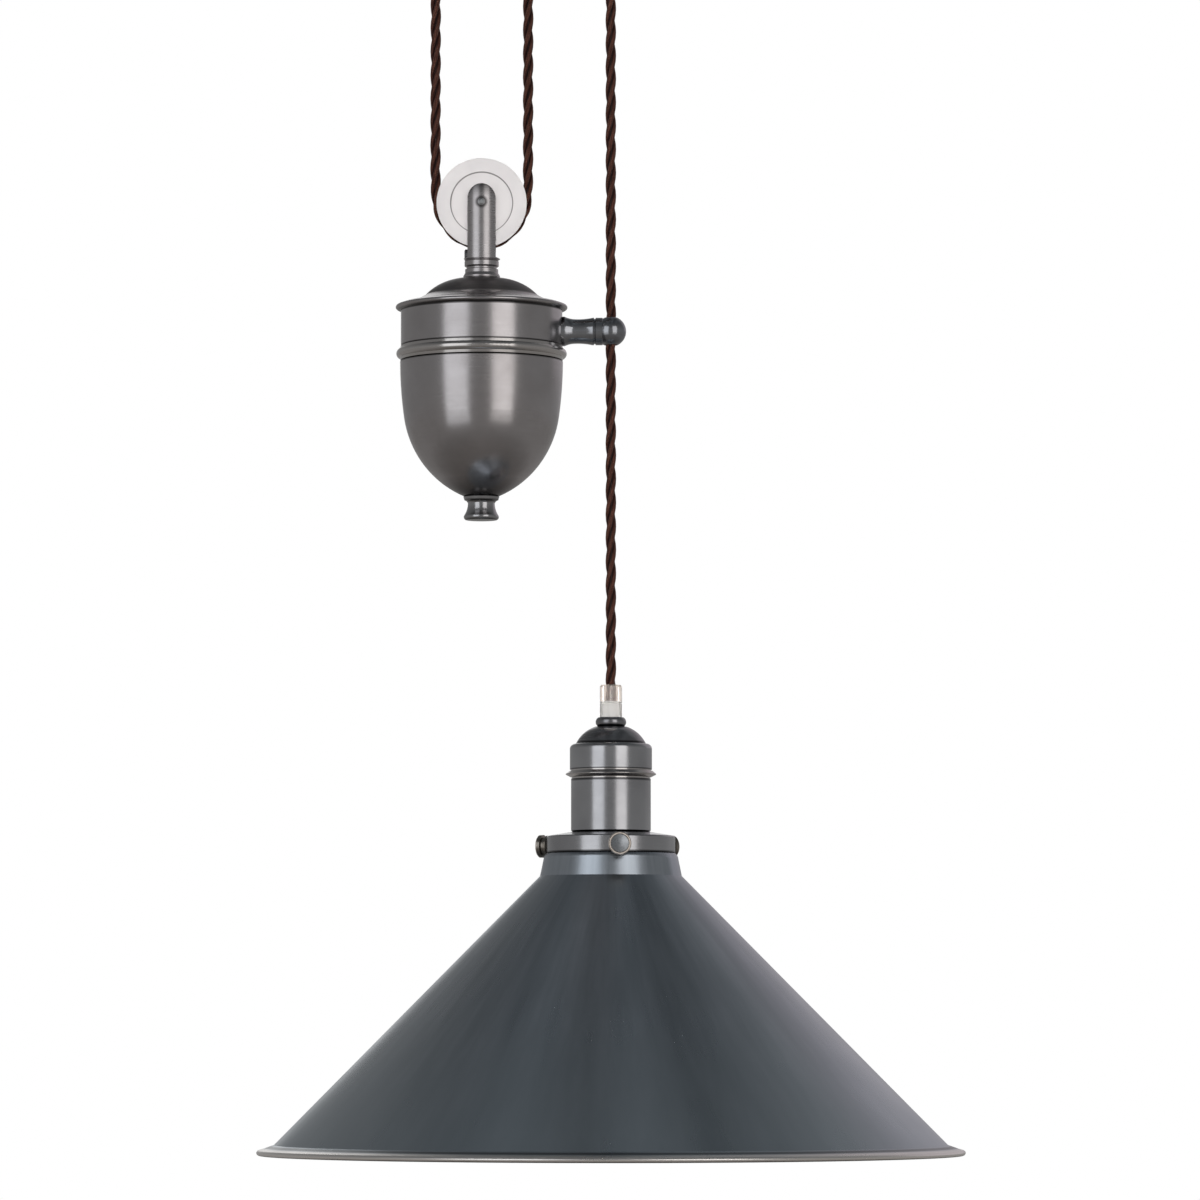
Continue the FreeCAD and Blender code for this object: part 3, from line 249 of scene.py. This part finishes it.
def mixed(tree, factor, first, second):
    node = add(tree, "ShaderNodeMix", data_type="RGBA", blend_type="MIX")
    for index, value in ((0, factor), (6, first), (7, second)):
        if isinstance(value, bpy.types.NodeSocket):
            tree.links.new(value, node.inputs[index])
        else:
            node.inputs[index].default_value = value
    return node.outputs[2]


def mottled(tree, pattern, light, dark):
    """A colour between two, by a noise."""
    return mixed(tree, varied(tree, pattern), light, dark)


def bumped(tree, shader, height, strength, depth):
    node = add(tree, "ShaderNodeBump", {
        "Height": height, "Strength": strength, "Distance": depth})
    tree.links.new(node.outputs["Normal"], shader.inputs["Normal"])


def rgb(red, green, blue):
    """A linear colour from the 0 to 255 values that it shows as."""
    def linear(value):
        value = value / 255
        return value / 12.92 if value <= 0.04045 else ((value + 0.055) / 1.055) ** 2.4
    return (linear(red), linear(green), linear(blue), 1.0)


def darker(colour, share):
    """A colour with a share of its brightness."""
    return tuple(share * channel for channel in colour[:3]) + (1.0,)


def turned_coordinates(tree, axis_x):
    """Radius, height and a slow turn round an upright line, so that noise makes lathe lines."""
    x, y, z = axes(tree, vector_math(tree, "SUBTRACT", coordinates(tree), (axis_x, 0, 0)))
    slow = product(tree, arithmetic(tree, "ARCTAN2", y, x), 0.0006)
    return add(tree, "ShaderNodeCombineXYZ", {0: distance(tree, x, y), 1: slow, 2: z}).outputs[0]


# ---------------------------------------------------------------- materials

def seam_lines(tree, height, seams):
    """How dark the painted shade in the seams is at a height: each seam is a height, its half width
    and its fade.
    """
    total = 0.0
    for at, half, fade in seams:
        off = arithmetic(tree, "ABSOLUTE", arithmetic(tree, "SUBTRACT", height, at))
        painted_shade = spread(tree, off, half, half + fade, SEAM_SHADE, 0.0)
        total = arithmetic(tree, "MAXIMUM", total, painted_shade)
    return total


def turned_metal(name, axis_x, light, dark, roughness, shade_above=None, pin=None, seams=()):
    """Turned and dulled metal: fine lathe lines, cloudy tarnish and small dark specks.

    Above a given height the metal gets painted shade, as the lid's dome does. pin is the
    x and z of a pin with painted shadow in a ring round it, and seams are heights with painted
    shade in them.
    """
    material, tree, shader = surface(name, Metallic=1.0)
    plain = coordinates(tree)
    lathe = noise(tree, turned_coordinates(tree, axis_x), 2600, 2.0, 0.6)
    cloud = noise(tree, plain, 30, 5.0, 0.6)
    specks = noise(tree, plain, 800, 2.0, 0.7)
    colour = mixed(tree, spread(tree, cloud, 0.30, 0.72), light, dark)
    rough = arithmetic(tree, "ADD", varied(tree, cloud, roughness - 0.03, roughness + 0.05),
                       varied(tree, lathe, -0.02, 0.03))
    # Painted shade over the lid's dome: darker and duller above the given height.
    if shade_above is not None:
        over = spread(tree, axes(tree, plain)[2],
                      shade_above - LID_SHADE_EDGE, shade_above + LID_SHADE_EDGE)
        colour = mixed(tree, over, colour, darker(dark, 0.42))
        rough = arithmetic(tree, "ADD", rough, product(tree, over, 0.22))
    colour = mixed(tree, spread(tree, lathe, 0.35, 0.75, 0.0, 0.22), colour, dark)
    # Painted shadow in a ring round the pin.
    if pin is not None:
        away = away_from_pin(tree, plain, *pin)
        ring = product(tree, spread(tree, away, *PIN_SHADOW_BEGINS),
                       spread(tree, away, *PIN_SHADOW_ENDS, 0.85, 0.0))
        colour = mixed(tree, ring, colour, darker(dark, 0.12))
    # Painted shade in the seams and grooves.
    if seams:
        painted_shade = seam_lines(tree, axes(tree, plain)[2], seams)
        colour = mixed(tree, painted_shade, colour, darker(dark, 0.10))
    colour = mixed(tree, spread(tree, specks, 0.68, 0.80, 0.0, 0.35), colour, darker(dark, 0.4))
    wire(tree, shader, colour, rough)
    bumped(tree, shader, lathe, 0.06, 0.00002)
    return material


def plain_metal(name, light, dark, roughness, grain=700):
    """Drawn or plated metal: faint clouds and a fine even grain."""
    material, tree, shader = surface(name, Metallic=1.0)
    plain = coordinates(tree)
    cloud = noise(tree, plain, 90, 4.0, 0.6)
    fine = noise(tree, plain, grain, 2.0, 0.5)
    wire(tree, shader, mottled(tree, cloud, light, dark),
         varied(tree, fine, roughness - 0.06, roughness + 0.08))
    bumped(tree, shader, fine, 0.12, 0.00003)
    return material


def thumbscrew_metal(name, degrees):
    """Dull bronze; on the head of a screw at that turn, painted shading: a greyer face and a pale
    painted highlight round the rim.
    """
    material, tree, shader = surface(name, Metallic=1.0)
    plain = coordinates(tree)
    axis = (math.cos(math.radians(degrees)), math.sin(math.radians(degrees)), 0)
    moved = vector_math(tree, "SUBTRACT", plain, (LAMP_X, 0, SCREW_Z))
    off_axis = vector_math(tree, "CROSS_PRODUCT", moved, axis)
    radius = add(tree, "ShaderNodeVectorMath", {0: off_axis}, operation="LENGTH").outputs["Value"]
    out = vector_math(tree, "DOT_PRODUCT", moved, axis, "Value")
    cloud = noise(tree, plain, 220, 4.0, 0.6)
    body = mottled(tree, cloud, rgb(152, 147, 140), rgb(112, 106, 98))
    face = mottled(tree, cloud, rgb(150, 154, 158), rgb(122, 126, 130))
    # Painted shading on the head: a greyer face and a pale painted highlight round the rim.
    head = mixed(tree, spread(tree, radius, *HEAD_RIM), face, rgb(216, 206, 196))
    on_head = spread(tree, out, HEAD_OUT - 0.0003, HEAD_OUT)
    wire(tree, shader, mixed(tree, on_head, body, head), varied(tree, cloud, 0.20, 0.34))
    bumped(tree, shader, cloud, 0.10, 0.00005)
    return material


def shade_finish():
    """Slate-toned satin metal outside with faint streaks down the slope, off-white paint inside."""
    material, tree, shader = surface("shade_slate")
    x, y, z = axes(tree, vector_math(tree, "SUBTRACT", coordinates(tree), (LAMP_X, 0, 0)))
    turn = arithmetic(tree, "ARCTAN2", y, x)
    around = add(tree, "ShaderNodeCombineXYZ", {
        0: arithmetic(tree, "COSINE", turn), 1: arithmetic(tree, "SINE", turn),
        2: product(tree, z, 1.6)}).outputs[0]
    streaks = noise(tree, around, 9.0, 4.0, 0.6)
    cloud = noise(tree, coordinates(tree), 16, 4.0, 0.55)
    fine = noise(tree, coordinates(tree), 420, 2.0, 0.5)

    outside = mottled(tree, streaks, rgb(157, 165, 172), rgb(180, 187, 195))
    outside = mixed(tree, spread(tree, cloud, 0.35, 0.7, 0.0, 0.5), outside, rgb(154, 162, 170))
    outside = mixed(tree, spread(tree, z, *SHADE_PALER, 0.0, 0.5), outside, rgb(188, 199, 206))
    # A pale band at the brim: a worn edge and a painted highlight.
    outside = mixed(tree, spread(tree, z, *WORN_EDGE_AND_HIGHLIGHT), outside, rgb(240, 236, 232))
    # Painted shadow in the crease over the brim, and painted shade under the roll.
    crease = product(tree, spread(tree, z, *CREASE_BEGINS), spread(tree, z, *CREASE_ENDS))
    painted_shade = product(tree, arithmetic(tree, "MAXIMUM", crease, spread(tree, z, *ROLL_SHADE)), 0.75)
    outside = mixed(tree, painted_shade, outside, rgb(52, 54, 56))

    inside = mottled(tree, cloud, rgb(226, 222, 212), rgb(214, 209, 198))
    facing_in = spread(tree, axes(tree, coordinates(tree, "Normal"))[2], -0.30, -0.50)
    is_inside = arithmetic(tree, "MULTIPLY", facing_in, spread(tree, z, *PAINT_BEGINS), clamp=True)
    rough = arithmetic(tree, "ADD", varied(tree, cloud, 0.26, 0.32),
                       varied(tree, streaks, -0.02, 0.02))
    wire(tree, shader, mixed(tree, is_inside, outside, inside), rough)
    tree.links.new(arithmetic(tree, "SUBTRACT", 1.0, is_inside), shader.inputs["Metallic"])
    bumped(tree, shader, fine, 0.06, 0.00004)
    return material


def frosted_plastic(name, axle_x, axle_z):
    """Milky moulded plastic with a slightly uneven skin, and painted shadow in the corner of its
    web.
    """
    material, tree, shader = surface(
        name, Subsurface_Weight=0.25, Subsurface_Radius=(0.004, 0.004, 0.004),
        Subsurface_Scale=1.0)
    plain = coordinates(tree)
    cloud = noise(tree, plain, 60, 3.0, 0.5)
    skin = noise(tree, plain, 700, 2.0, 0.5)
    base = mottled(tree, cloud, rgb(231, 227, 226), rgb(222, 218, 218))
    # Painted shadow along the step in the corner of the web.
    away = away_from_pin(tree, plain, axle_x, axle_z)
    corner = product(tree, spread(tree, away, *WEB_SHADOW_BEGINS),
                     spread(tree, away, *WEB_SHADOW_ENDS, 0.8, 0.0))
    wire(tree, shader, mixed(tree, corner, base, rgb(104, 99, 98)),
         varied(tree, skin, 0.36, 0.48))
    bumped(tree, shader, skin, 0.12, 0.00005)
    return material


def clear_nylon():
    """Milky clear nylon with a soft haze, clearer over the grip's screw, where the flex shows."""
    material, tree, shader = surface("grip_nylon", IOR=1.46)
    plain = coordinates(tree)
    cloud = noise(tree, plain, 90, 2.0, 0.5)
    clear = spread(tree, axes(tree, plain)[2], *GRIP_CLEAR)
    base = mottled(tree, cloud, rgb(250, 248, 245), rgb(238, 236, 232))
    rough = arithmetic(tree, "SUBTRACT", varied(tree, cloud, 0.34, 0.42),
                       product(tree, clear, 0.20))
    wire(tree, shader, mixed(tree, clear, base, rgb(232, 222, 214)), rough)
    tree.links.new(spread(tree, clear, 0.0, 1.0, 0.50, 0.86),
                   shader.inputs["Transmission Weight"])
    bumped(tree, shader, cloud, 0.08, 0.0001)
    return material


def moulded(name, light, dark, roughness, scale=240):
    """Opaque moulded or glazed stuff with a faint mottle."""
    material, tree, shader = surface(name)
    cloud = noise(tree, coordinates(tree), scale, 3.0, 0.5)
    wire(tree, shader, mottled(tree, cloud, light, dark),
         varied(tree, cloud, roughness - 0.04, roughness + 0.05))
    bumped(tree, shader, cloud, 0.08, 0.00008)
    return material


def braid():
    """Brown cotton braid: two sets of slanting ribs from the piece's own UV, with paler threads.

    U runs round a core, from its side away from the twist's middle, and V along it in metres.
    """
    material, tree, shader = surface(
        "flex_braid", Sheen_Weight=0.05, Sheen_Roughness=0.5, Specular_IOR_Level=0.2)
    u, v, _ = axes(tree, coordinates(tree, "UV"))
    ribs = []
    for sign in (1, -1):
        around = product(tree, u, sign * RIBS_ROUND * 2 * math.pi)
        along = product(tree, v, 2 * math.pi / RIB_STEP)
        ribs.append(arithmetic(tree, "SINE", arithmetic(tree, "ADD", around, along)))
    weave = arithmetic(tree, "MAXIMUM", *ribs)
    pick = product(tree, *ribs)
    fuzz = noise(tree, coordinates(tree), 2200, 3.0, 0.6)
    cloud = noise(tree, coordinates(tree), 130, 3.0, 0.5)
    colour = mottled(tree, cloud, rgb(88, 52, 42), rgb(64, 34, 26))
    colour = mixed(tree, spread(tree, weave, -0.2, 0.9), rgb(34, 13, 8), colour)
    colour = mixed(tree, spread(tree, pick, 0.35, 0.9, 0.0, 0.6), colour, rgb(128, 98, 84))
    # Painted shade: darker where a core turns in towards the other two.
    outward = arithmetic(tree, "COSINE", product(tree, u, 2 * math.pi))
    colour = mixed(tree, spread(tree, outward, -0.15, 0.60), rgb(30, 8, 4), colour)
    wire(tree, shader, colour, varied(tree, fuzz, 0.72, 0.9))
    height = arithmetic(tree, "ADD", weave, product(tree, fuzz, 0.6))
    bumped(tree, shader, height, 0.5, 0.00012)
    return material


def make_materials():
    pewter = (rgb(181, 178, 179), rgb(160, 156, 156))
    cool = (rgb(181, 182, 184), rgb(158, 158, 161))
    # A lighter copy of the pewter for the bead and the holder's ring: polished crests, made lighter
    # as a painted highlight.
    bright = (rgb(206, 203, 201), rgb(186, 182, 180))
    dark = (rgb(150, 150, 153), rgb(124, 124, 127))
    polished = (rgb(184, 184, 185), rgb(156, 156, 158))
    return {
        "pewter_weight": turned_metal("pewter_weight", WEIGHT_X, *pewter, 0.21, seams=BOWL_SEAMS),
        "yoke": turned_metal("pewter_yoke", WEIGHT_X, *pewter, 0.28,
                             pin=(WEIGHT_X, WEIGHT_WHEEL_Z), seams=YOKE_SEAMS),
        "lid": turned_metal("pewter_lid", WEIGHT_X, *pewter, 0.22, shade_above=LID_SHADE_Z,
                            seams=LID_SEAMS),
        "pewter_lamp": turned_metal("pewter_lamp", LAMP_X, *cool, 0.20, seams=LAMP_SEAMS),
        "pewter_ceiling": turned_metal("pewter_ceiling", ROOF_WHEEL_X, *pewter, 0.21),
        "dark_weight": turned_metal("dark_weight", WEIGHT_X, *dark, 0.24),
        "arm": turned_metal("dark_arm", WEIGHT_X, rgb(166, 168, 172), rgb(132, 134, 138), 0.14),
        "dark_lamp": turned_metal("dark_lamp", LAMP_X, *dark, 0.24, seams=DOME_SEAMS),
        "finial": turned_metal("pewter_finial", WEIGHT_X, *polished, 0.15, seams=FINIAL_SEAMS),
        "bright_weight": turned_metal("bright_weight", WEIGHT_X, *bright, 0.15),
        "bright_lamp": turned_metal("bright_lamp", LAMP_X, *bright, 0.15),
        "rose": turned_metal("rose_metal", 0.0, *pewter, 0.30),
        "steel": plain_metal("zinc_steel", rgb(186, 188, 190), rgb(160, 161, 162), 0.34),
        "iron": plain_metal("raw_iron", rgb(112, 110, 108), rgb(86, 82, 80), 0.62, 400),
        "brass": plain_metal("plain_brass", rgb(214, 178, 104), rgb(190, 150, 84), 0.30),
        "screw_front": thumbscrew_metal("screw_front", -83.5),
        "screw_right": thumbscrew_metal("screw_right", 36.5),
        "screw_left": thumbscrew_metal("screw_left", 156.5),
        "weight_plastic": frosted_plastic("weight_pulley_plastic", WEIGHT_X, WEIGHT_WHEEL_Z),
        "ceiling_plastic": frosted_plastic("ceiling_pulley_plastic", ROOF_WHEEL_X, ROOF_WHEEL_Z),
        "nylon": clear_nylon(),
        "block": moulded("block_plastic", rgb(232, 226, 210), rgb(216, 208, 190), 0.42),
        "ceramic": moulded("socket_ceramic", rgb(236, 232, 224), rgb(224, 219, 208), 0.16, 60),
        "shade": shade_finish(),
        "braid": braid(),
    }


NODE_MATERIAL = {
    "ceiling_bracket": "steel", "load_plate": "steel", "ceiling_rose": "rose",
    "rose_stud_front": "steel", "rose_stud_back": "steel",
    "rose_nut_front": "pewter_ceiling", "rose_nut_back": "pewter_ceiling",
    "terminal_block": "block", "terminal_screw_left": "brass",
    "terminal_screw_middle": "brass", "terminal_screw_right": "brass",
    "flex_tail": "braid", "flex_fixed_leg": "braid", "flex_rising_leg": "braid",
    "flex_drop": "braid", "flex_ceiling_wrap": "braid", "flex_weight_wrap": "braid",
    "ceiling_yoke": "pewter_ceiling", "ceiling_yoke_stud": "steel", "ceiling_yoke_nut": "steel",
    "ceiling_axle": "steel", "rose_grip": "nylon", "rose_grip_screw": "nylon",
    "rose_grip_nut": "steel", "ceiling_wheel": "ceiling_plastic", "ceiling_bush": "brass",
    "weight_yoke": "yoke", "weight_axle": "steel", "weight_yoke_screw": "dark_weight",
    "weight_lid": "lid", "weight_band": "pewter_weight", "weight_bead": "bright_weight",
    "weight_bowl": "pewter_weight", "ballast_upper": "iron", "ballast_lower": "iron",
    "weight_rod": "steel", "weight_rod_nut": "steel", "weight_finial": "finial",
    "guide_arm": "arm", "weight_wheel": "weight_plastic", "weight_bush": "brass",
    "lamp_grip": "nylon", "lamp_grip_screw": "nylon", "lamp_grip_nut": "steel",
    "collar_nut": "dark_lamp", "dome_cap": "dark_lamp", "holder_cap": "pewter_lamp",
    "holder_ring": "bright_lamp", "holder_shell": "pewter_lamp", "socket_core": "ceramic",
    "screw_shell": "brass", "centre_contact": "brass", "gallery": "pewter_lamp",
    "gallery_nut": "steel", "shade": "shade",
    "thumbscrew_1": "screw_front", "thumbscrew_2": "screw_right", "thumbscrew_3": "screw_left",
}


def paint_nodes(materials):
    for name, key in NODE_MATERIAL.items():
        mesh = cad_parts[name].data
        mesh.materials.clear()
        mesh.materials.append(materials[key])


# ---------------------------------------------------------------- the flex

def route_line():
    """The flex's centreline, as the points of one smooth curve through its route."""
    curve = bpy.data.curves.new("flex_line", "CURVE")
    curve.dimensions = "3D"
    spline = curve.splines.new("NURBS")
    spline.points.add(len(FLEX_ROUTE) - 1)
    for point, (x, z) in zip(spline.points, FLEX_ROUTE):
        point.co = (x, 0, z, 1)
    spline.order_u = 3
    spline.use_endpoint_u = True
    spline.resolution_u = 24
    line = bpy.data.objects.new("flex_line", curve)
    bpy.context.scene.collection.objects.link(line)
    bpy.context.view_layer.update()
    mesh = bpy.data.meshes.new_from_object(line)
    points = np.array([v.co for v in mesh.vertices], float).reshape(-1, 3)
    bpy.data.objects.remove(line)
    bpy.data.meshes.remove(mesh)
    return points


def evenly(points, step):
    """Points at even steps along a line, with their distance along it."""
    lengths = np.linalg.norm(np.diff(points, axis=0), axis=1)
    keep = np.concatenate([[True], lengths > SAME_POINT])
    points = points[keep]
    along = np.concatenate([[0], np.cumsum(np.linalg.norm(np.diff(points, axis=0), axis=1))])
    count = int(round(along[-1] / step)) + 1
    wanted = np.linspace(0, along[-1], count)
    return np.stack([np.interp(wanted, along, points[:, k]) for k in range(3)], 1), wanted


def unit(vectors):
    """Rows of an array, each brought to a length of 1."""
    return vectors / np.linalg.norm(vectors, axis=1)[:, None]


def twisted(name, centres, along):
    """Three round cores that wind round the centreline, right-handed, with UV along each core."""
    side = np.array([0.0, 1.0, 0.0])
    normals = np.cross(side, unit(np.gradient(centres, axis=0)))
    vertices, faces, uvs = [], [], []
    rings = len(centres)
    for core in range(CORES):
        phase = 2 * math.pi * (core / CORES + along / LAY)
        wind = np.cos(phase)[:, None] * normals + np.sin(phase)[:, None] * side
        core_line = centres + TWIST_R * wind
        forward = unit(np.gradient(core_line, axis=0))
        across = unit(np.cross(forward, wind))
        outward = np.cross(across, forward)
        first = len(vertices)
        for i in range(rings):
            for k in range(CORE_SIDES):
                angle = 2 * math.pi * k / CORE_SIDES
                offset = math.cos(angle) * outward[i] + math.sin(angle) * across[i]
                vertices.append(core_line[i] + CORE_R * offset)
        for i in range(rings - 1):
            v0, v1 = along[i], along[i + 1]
            for k in range(CORE_SIDES):
                following = (k + 1) % CORE_SIDES
                low = first + i * CORE_SIDES
                high = low + CORE_SIDES
                faces.append((low + k, low + following, high + following, high + k))
                u0, u1 = k / CORE_SIDES, (k + 1) / CORE_SIDES
                uvs.append(((u0, v0), (u1, v0), (u1, v1), (u0, v1)))
        for ring, turn in ((0, -1), (rings - 1, 1)):
            low = first + ring * CORE_SIDES
            faces.append(tuple(low + k for k in range(CORE_SIDES))[::turn])
            uvs.append(tuple((k / CORE_SIDES, along[ring]) for k in range(CORE_SIDES))[::turn])
    mesh = bpy.data.meshes.new(name)
    mesh.from_pydata([tuple(v) for v in vertices], [], faces)
    layer = mesh.uv_layers.new(name="UVMap")
    flat = [corner for face in uvs for corner in face]
    for loop, uv in zip(layer.data, flat):
        loop.uv = uv
    # The sides are smooth and the ends flat.
    mesh.polygons.foreach_set("use_smooth", [len(p.vertices) == 4 for p in mesh.polygons])
    piece = bpy.data.objects.new(name, mesh)
    bpy.context.scene.collection.objects.link(piece)
    return piece


def make_flex(material):
    """Two pieces of one flex: round both pulleys, and the drop to the lamp."""
    centres, along = evenly(route_line(), RING_STEP)
    past_wheel = (centres[:, 0] > ROOF_WHEEL_X) & (centres[:, 2] < ROOF_WHEEL_Z)
    split = int(np.argmax(past_wheel))
    loop = twisted("flex_loop", centres[:split + 1], along[:split + 1])
    drop = twisted("flex_to_lamp", centres[split:], along[split:])
    drop.visible_glossy = False  # the photograph's bowl shows no reflection of the flex beside it
    for piece in (loop, drop):
        piece.data.materials.append(material)
    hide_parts("flex_tail", "flex_fixed_leg", "flex_rising_leg",
                "flex_ceiling_wrap", "flex_weight_wrap")
    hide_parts("flex_drop")
    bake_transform(loop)
    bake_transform(drop)


# ---------------------------------------------------------------- studio

def look_from(thing, at, towards):
    """Puts a light or the camera at a place, looking towards another."""
    thing.location = at
    thing.rotation_mode = "QUATERNION"
    thing.rotation_quaternion = (Vector(towards) - Vector(at)).to_track_quat("-Z", "Y")
    bpy.context.scene.collection.objects.link(thing)


def area_light(name, at, width, height, watts, colour):
    """A rectangular light that looks at the middle of the object."""
    light = bpy.data.lights.new(name, "AREA")
    light.shape = "RECTANGLE"
    light.size = width
    light.size_y = height
    light.energy = watts
    light.color = colour
    lamp = bpy.data.objects.new(name, light)
    look_from(lamp, at, LIT_MIDDLE)
    return lamp


def make_lights():
    for name, (turn, rise, wide, tall, radiance, colour) in SOFT_BOXES.items():
        turn, rise = math.radians(turn), math.radians(rise)
        way = Vector((math.sin(turn) * math.cos(rise), -math.cos(turn) * math.cos(rise),
                      math.sin(rise)))
        area_light(name, LIT_MIDDLE + way * BOX_AWAY, wide, tall,
                   radiance * math.pi * wide * tall, colour)
    for name, (at, watts) in FILLS.items():
        fill = area_light(name, at, FILL_SIDE, FILL_SIDE, watts, (1, 1, 1))
        fill.data.spread = math.radians(FILL_SPREAD)
        fill.visible_glossy = False
        fill.visible_camera = False


def seen_straight(tree, rays):
    """1 for the rays that show the surroundings themselves, to the camera or through nylon."""
    return arithmetic(tree, "MAXIMUM", rays.outputs["Is Camera Ray"],
                      rays.outputs["Is Transmission Ray"])


def make_world():
    """A white ground to the camera, and a dark room with a white sheet to polished metal."""
    world = bpy.data.worlds.new("studio")
    bpy.context.scene.world = world
    world.use_nodes = True
    tree = world.node_tree
    tree.nodes.clear()
    rays = tree.nodes.new("ShaderNodeLightPath")
    seen = seen_straight(tree, rays)
    # The direction of a ray: turn is 0 straight behind the object and grows to the right.
    across, behind, height = axes(tree, coordinates(tree, "Generated"))
    turn = arithmetic(tree, "ARCTAN2", across, behind)

    # The room: lighter at the horizon than below and above it, with faint beams overhead.
    below = spread(tree, height, -0.6, -0.1, 0.08, 0.29)
    above = spread(tree, height, 0.1, 0.8, 0.0, -0.16)
    waves = product(tree, arithmetic(tree, "SUBTRACT", across, 0.10), 15.7)
    beams = product(tree, arithmetic(tree, "COSINE", waves),
                    spread(tree, height, 0.75, 0.90, 0.0, 0.045))
    room = arithmetic(tree, "ADD", arithmetic(tree, "ADD", below, above), beams)

    # The sheet that hangs behind the object, and the dimmer wall to its right.
    over_horizon = spread(tree, height, 0.03, 0.13)
    right_of_sheet = spread(tree, turn, 0.02, 0.10)
    sheet = product(tree, spread(tree, turn, -0.27, -0.18),
                    spread(tree, turn, 0.02, 0.10, 0.72, 0.0),
                    spread(tree, height, 0.50, 0.62, 1.0, 0.0))
    wall = product(tree, right_of_sheet, spread(tree, turn, 0.95, 1.10, 1.0, 0.0),
                   spread(tree, height, 0.45, 0.62, 0.235, 0.125),
                   spread(tree, height, 0.76, 0.82, 1.0, 0.0))
    shown = product(tree, arithmetic(tree, "ADD", sheet, wall), over_horizon,
                    rays.outputs["Is Glossy Ray"])
    strength = arithmetic(tree, "MAXIMUM", seen, arithmetic(tree, "ADD", room, shown))

    # Warmer below, cooler overhead and faintly rosy on the wall.
    tint = mixed(tree, spread(tree, height, -0.3, 0.0), (1.0, 0.93, 0.87, 1), WHITE)
    tint = mixed(tree, spread(tree, height, 0.6, 0.9), tint, (0.93, 0.99, 1.04, 1))
    rosy = product(tree, product(tree, right_of_sheet, spread(tree, turn, 0.9, 1.1, 1.0, 0.0)),
                   product(tree, over_horizon, spread(tree, height, 0.55, 0.72, 1.0, 0.0)))
    tint = mixed(tree, rosy, tint, (1.0, 0.93, 0.98, 1))
    tint = mixed(tree, seen, tint, WHITE)
    shell = add(tree, "ShaderNodeBackground", {"Color": tint, "Strength": strength})
    out = tree.nodes.new("ShaderNodeOutputWorld")
    tree.links.new(shell.outputs[0], out.inputs["Surface"])


def floor_paper():
    """Paper that glows white for the camera and a little for metal, less right under the lamp."""
    material, tree, shader = surface("floor_paper", Roughness=0.8)
    plain = coordinates(tree)
    paper = noise(tree, plain, 3, 3.0, 0.5)
    tree.links.new(mixed(tree, paper, rgb(200, 193, 186), rgb(195, 188, 181)),
                   shader.inputs["Base Color"])
    x, y, _ = axes(tree, plain)
    away = distance(tree, x, y)
    rays = tree.nodes.new("ShaderNodeLightPath")
    white = product(tree, seen_straight(tree, rays), spread(tree, away, 2.0, 9.0, 0.80, 1.0))
    mirrored = product(tree, rays.outputs["Is Glossy Ray"],
                       spread(tree, away, 0.8, 3.5, 0.0, 0.17))
    shader.inputs["Emission Color"].default_value = (1.0, 0.99, 0.98, 1.0)
    tree.links.new(arithmetic(tree, "ADD", white, mirrored), shader.inputs["Emission Strength"])
    # Seen from below, the floor doesn't hide the lamp.
    under = tree.nodes.new("ShaderNodeNewGeometry").outputs["Backfacing"]
    clear = tree.nodes.new("ShaderNodeBsdfTransparent")
    both = add(tree, "ShaderNodeMixShader", {0: under, 1: shader.outputs[0], 2: clear.outputs[0]})
    output = next(n for n in tree.nodes if n.type == "OUTPUT_MATERIAL")
    tree.links.new(both.outputs[0], output.inputs["Surface"])
    return material


def make_floor():
    mesh = bpy.data.meshes.new("floor")
    corners = ((-1, -1), (1, -1), (1, 1), (-1, 1))
    mesh.from_pydata([(FLOOR_REACH * x, FLOOR_REACH * y, FLOOR_Z) for x, y in corners],
                     [], [(0, 1, 2, 3)])
    floor = bpy.data.objects.new("floor", mesh)
    bpy.context.scene.collection.objects.link(floor)
    mesh.materials.append(floor_paper())


def make_camera():
    camera = bpy.data.cameras.new("camera")
    camera.sensor_width = 36
    away = (VIEW_MIDDLE - CAMERA_AT).length
    camera.lens = camera.sensor_width * away / (PHOTO_WIDTH * PIXEL)
    camera.clip_start = 0.05
    camera.clip_end = 60
    seen = bpy.data.objects.new("camera", camera)
    look_from(seen, CAMERA_AT, VIEW_MIDDLE)
    bpy.context.scene.camera = seen


bpy.context.scene.view_settings.view_transform = "Standard"
make_camera()
materials = make_materials()
make_flex(materials["braid"])
paint_nodes(materials)
make_lights()
make_world()
make_floor()
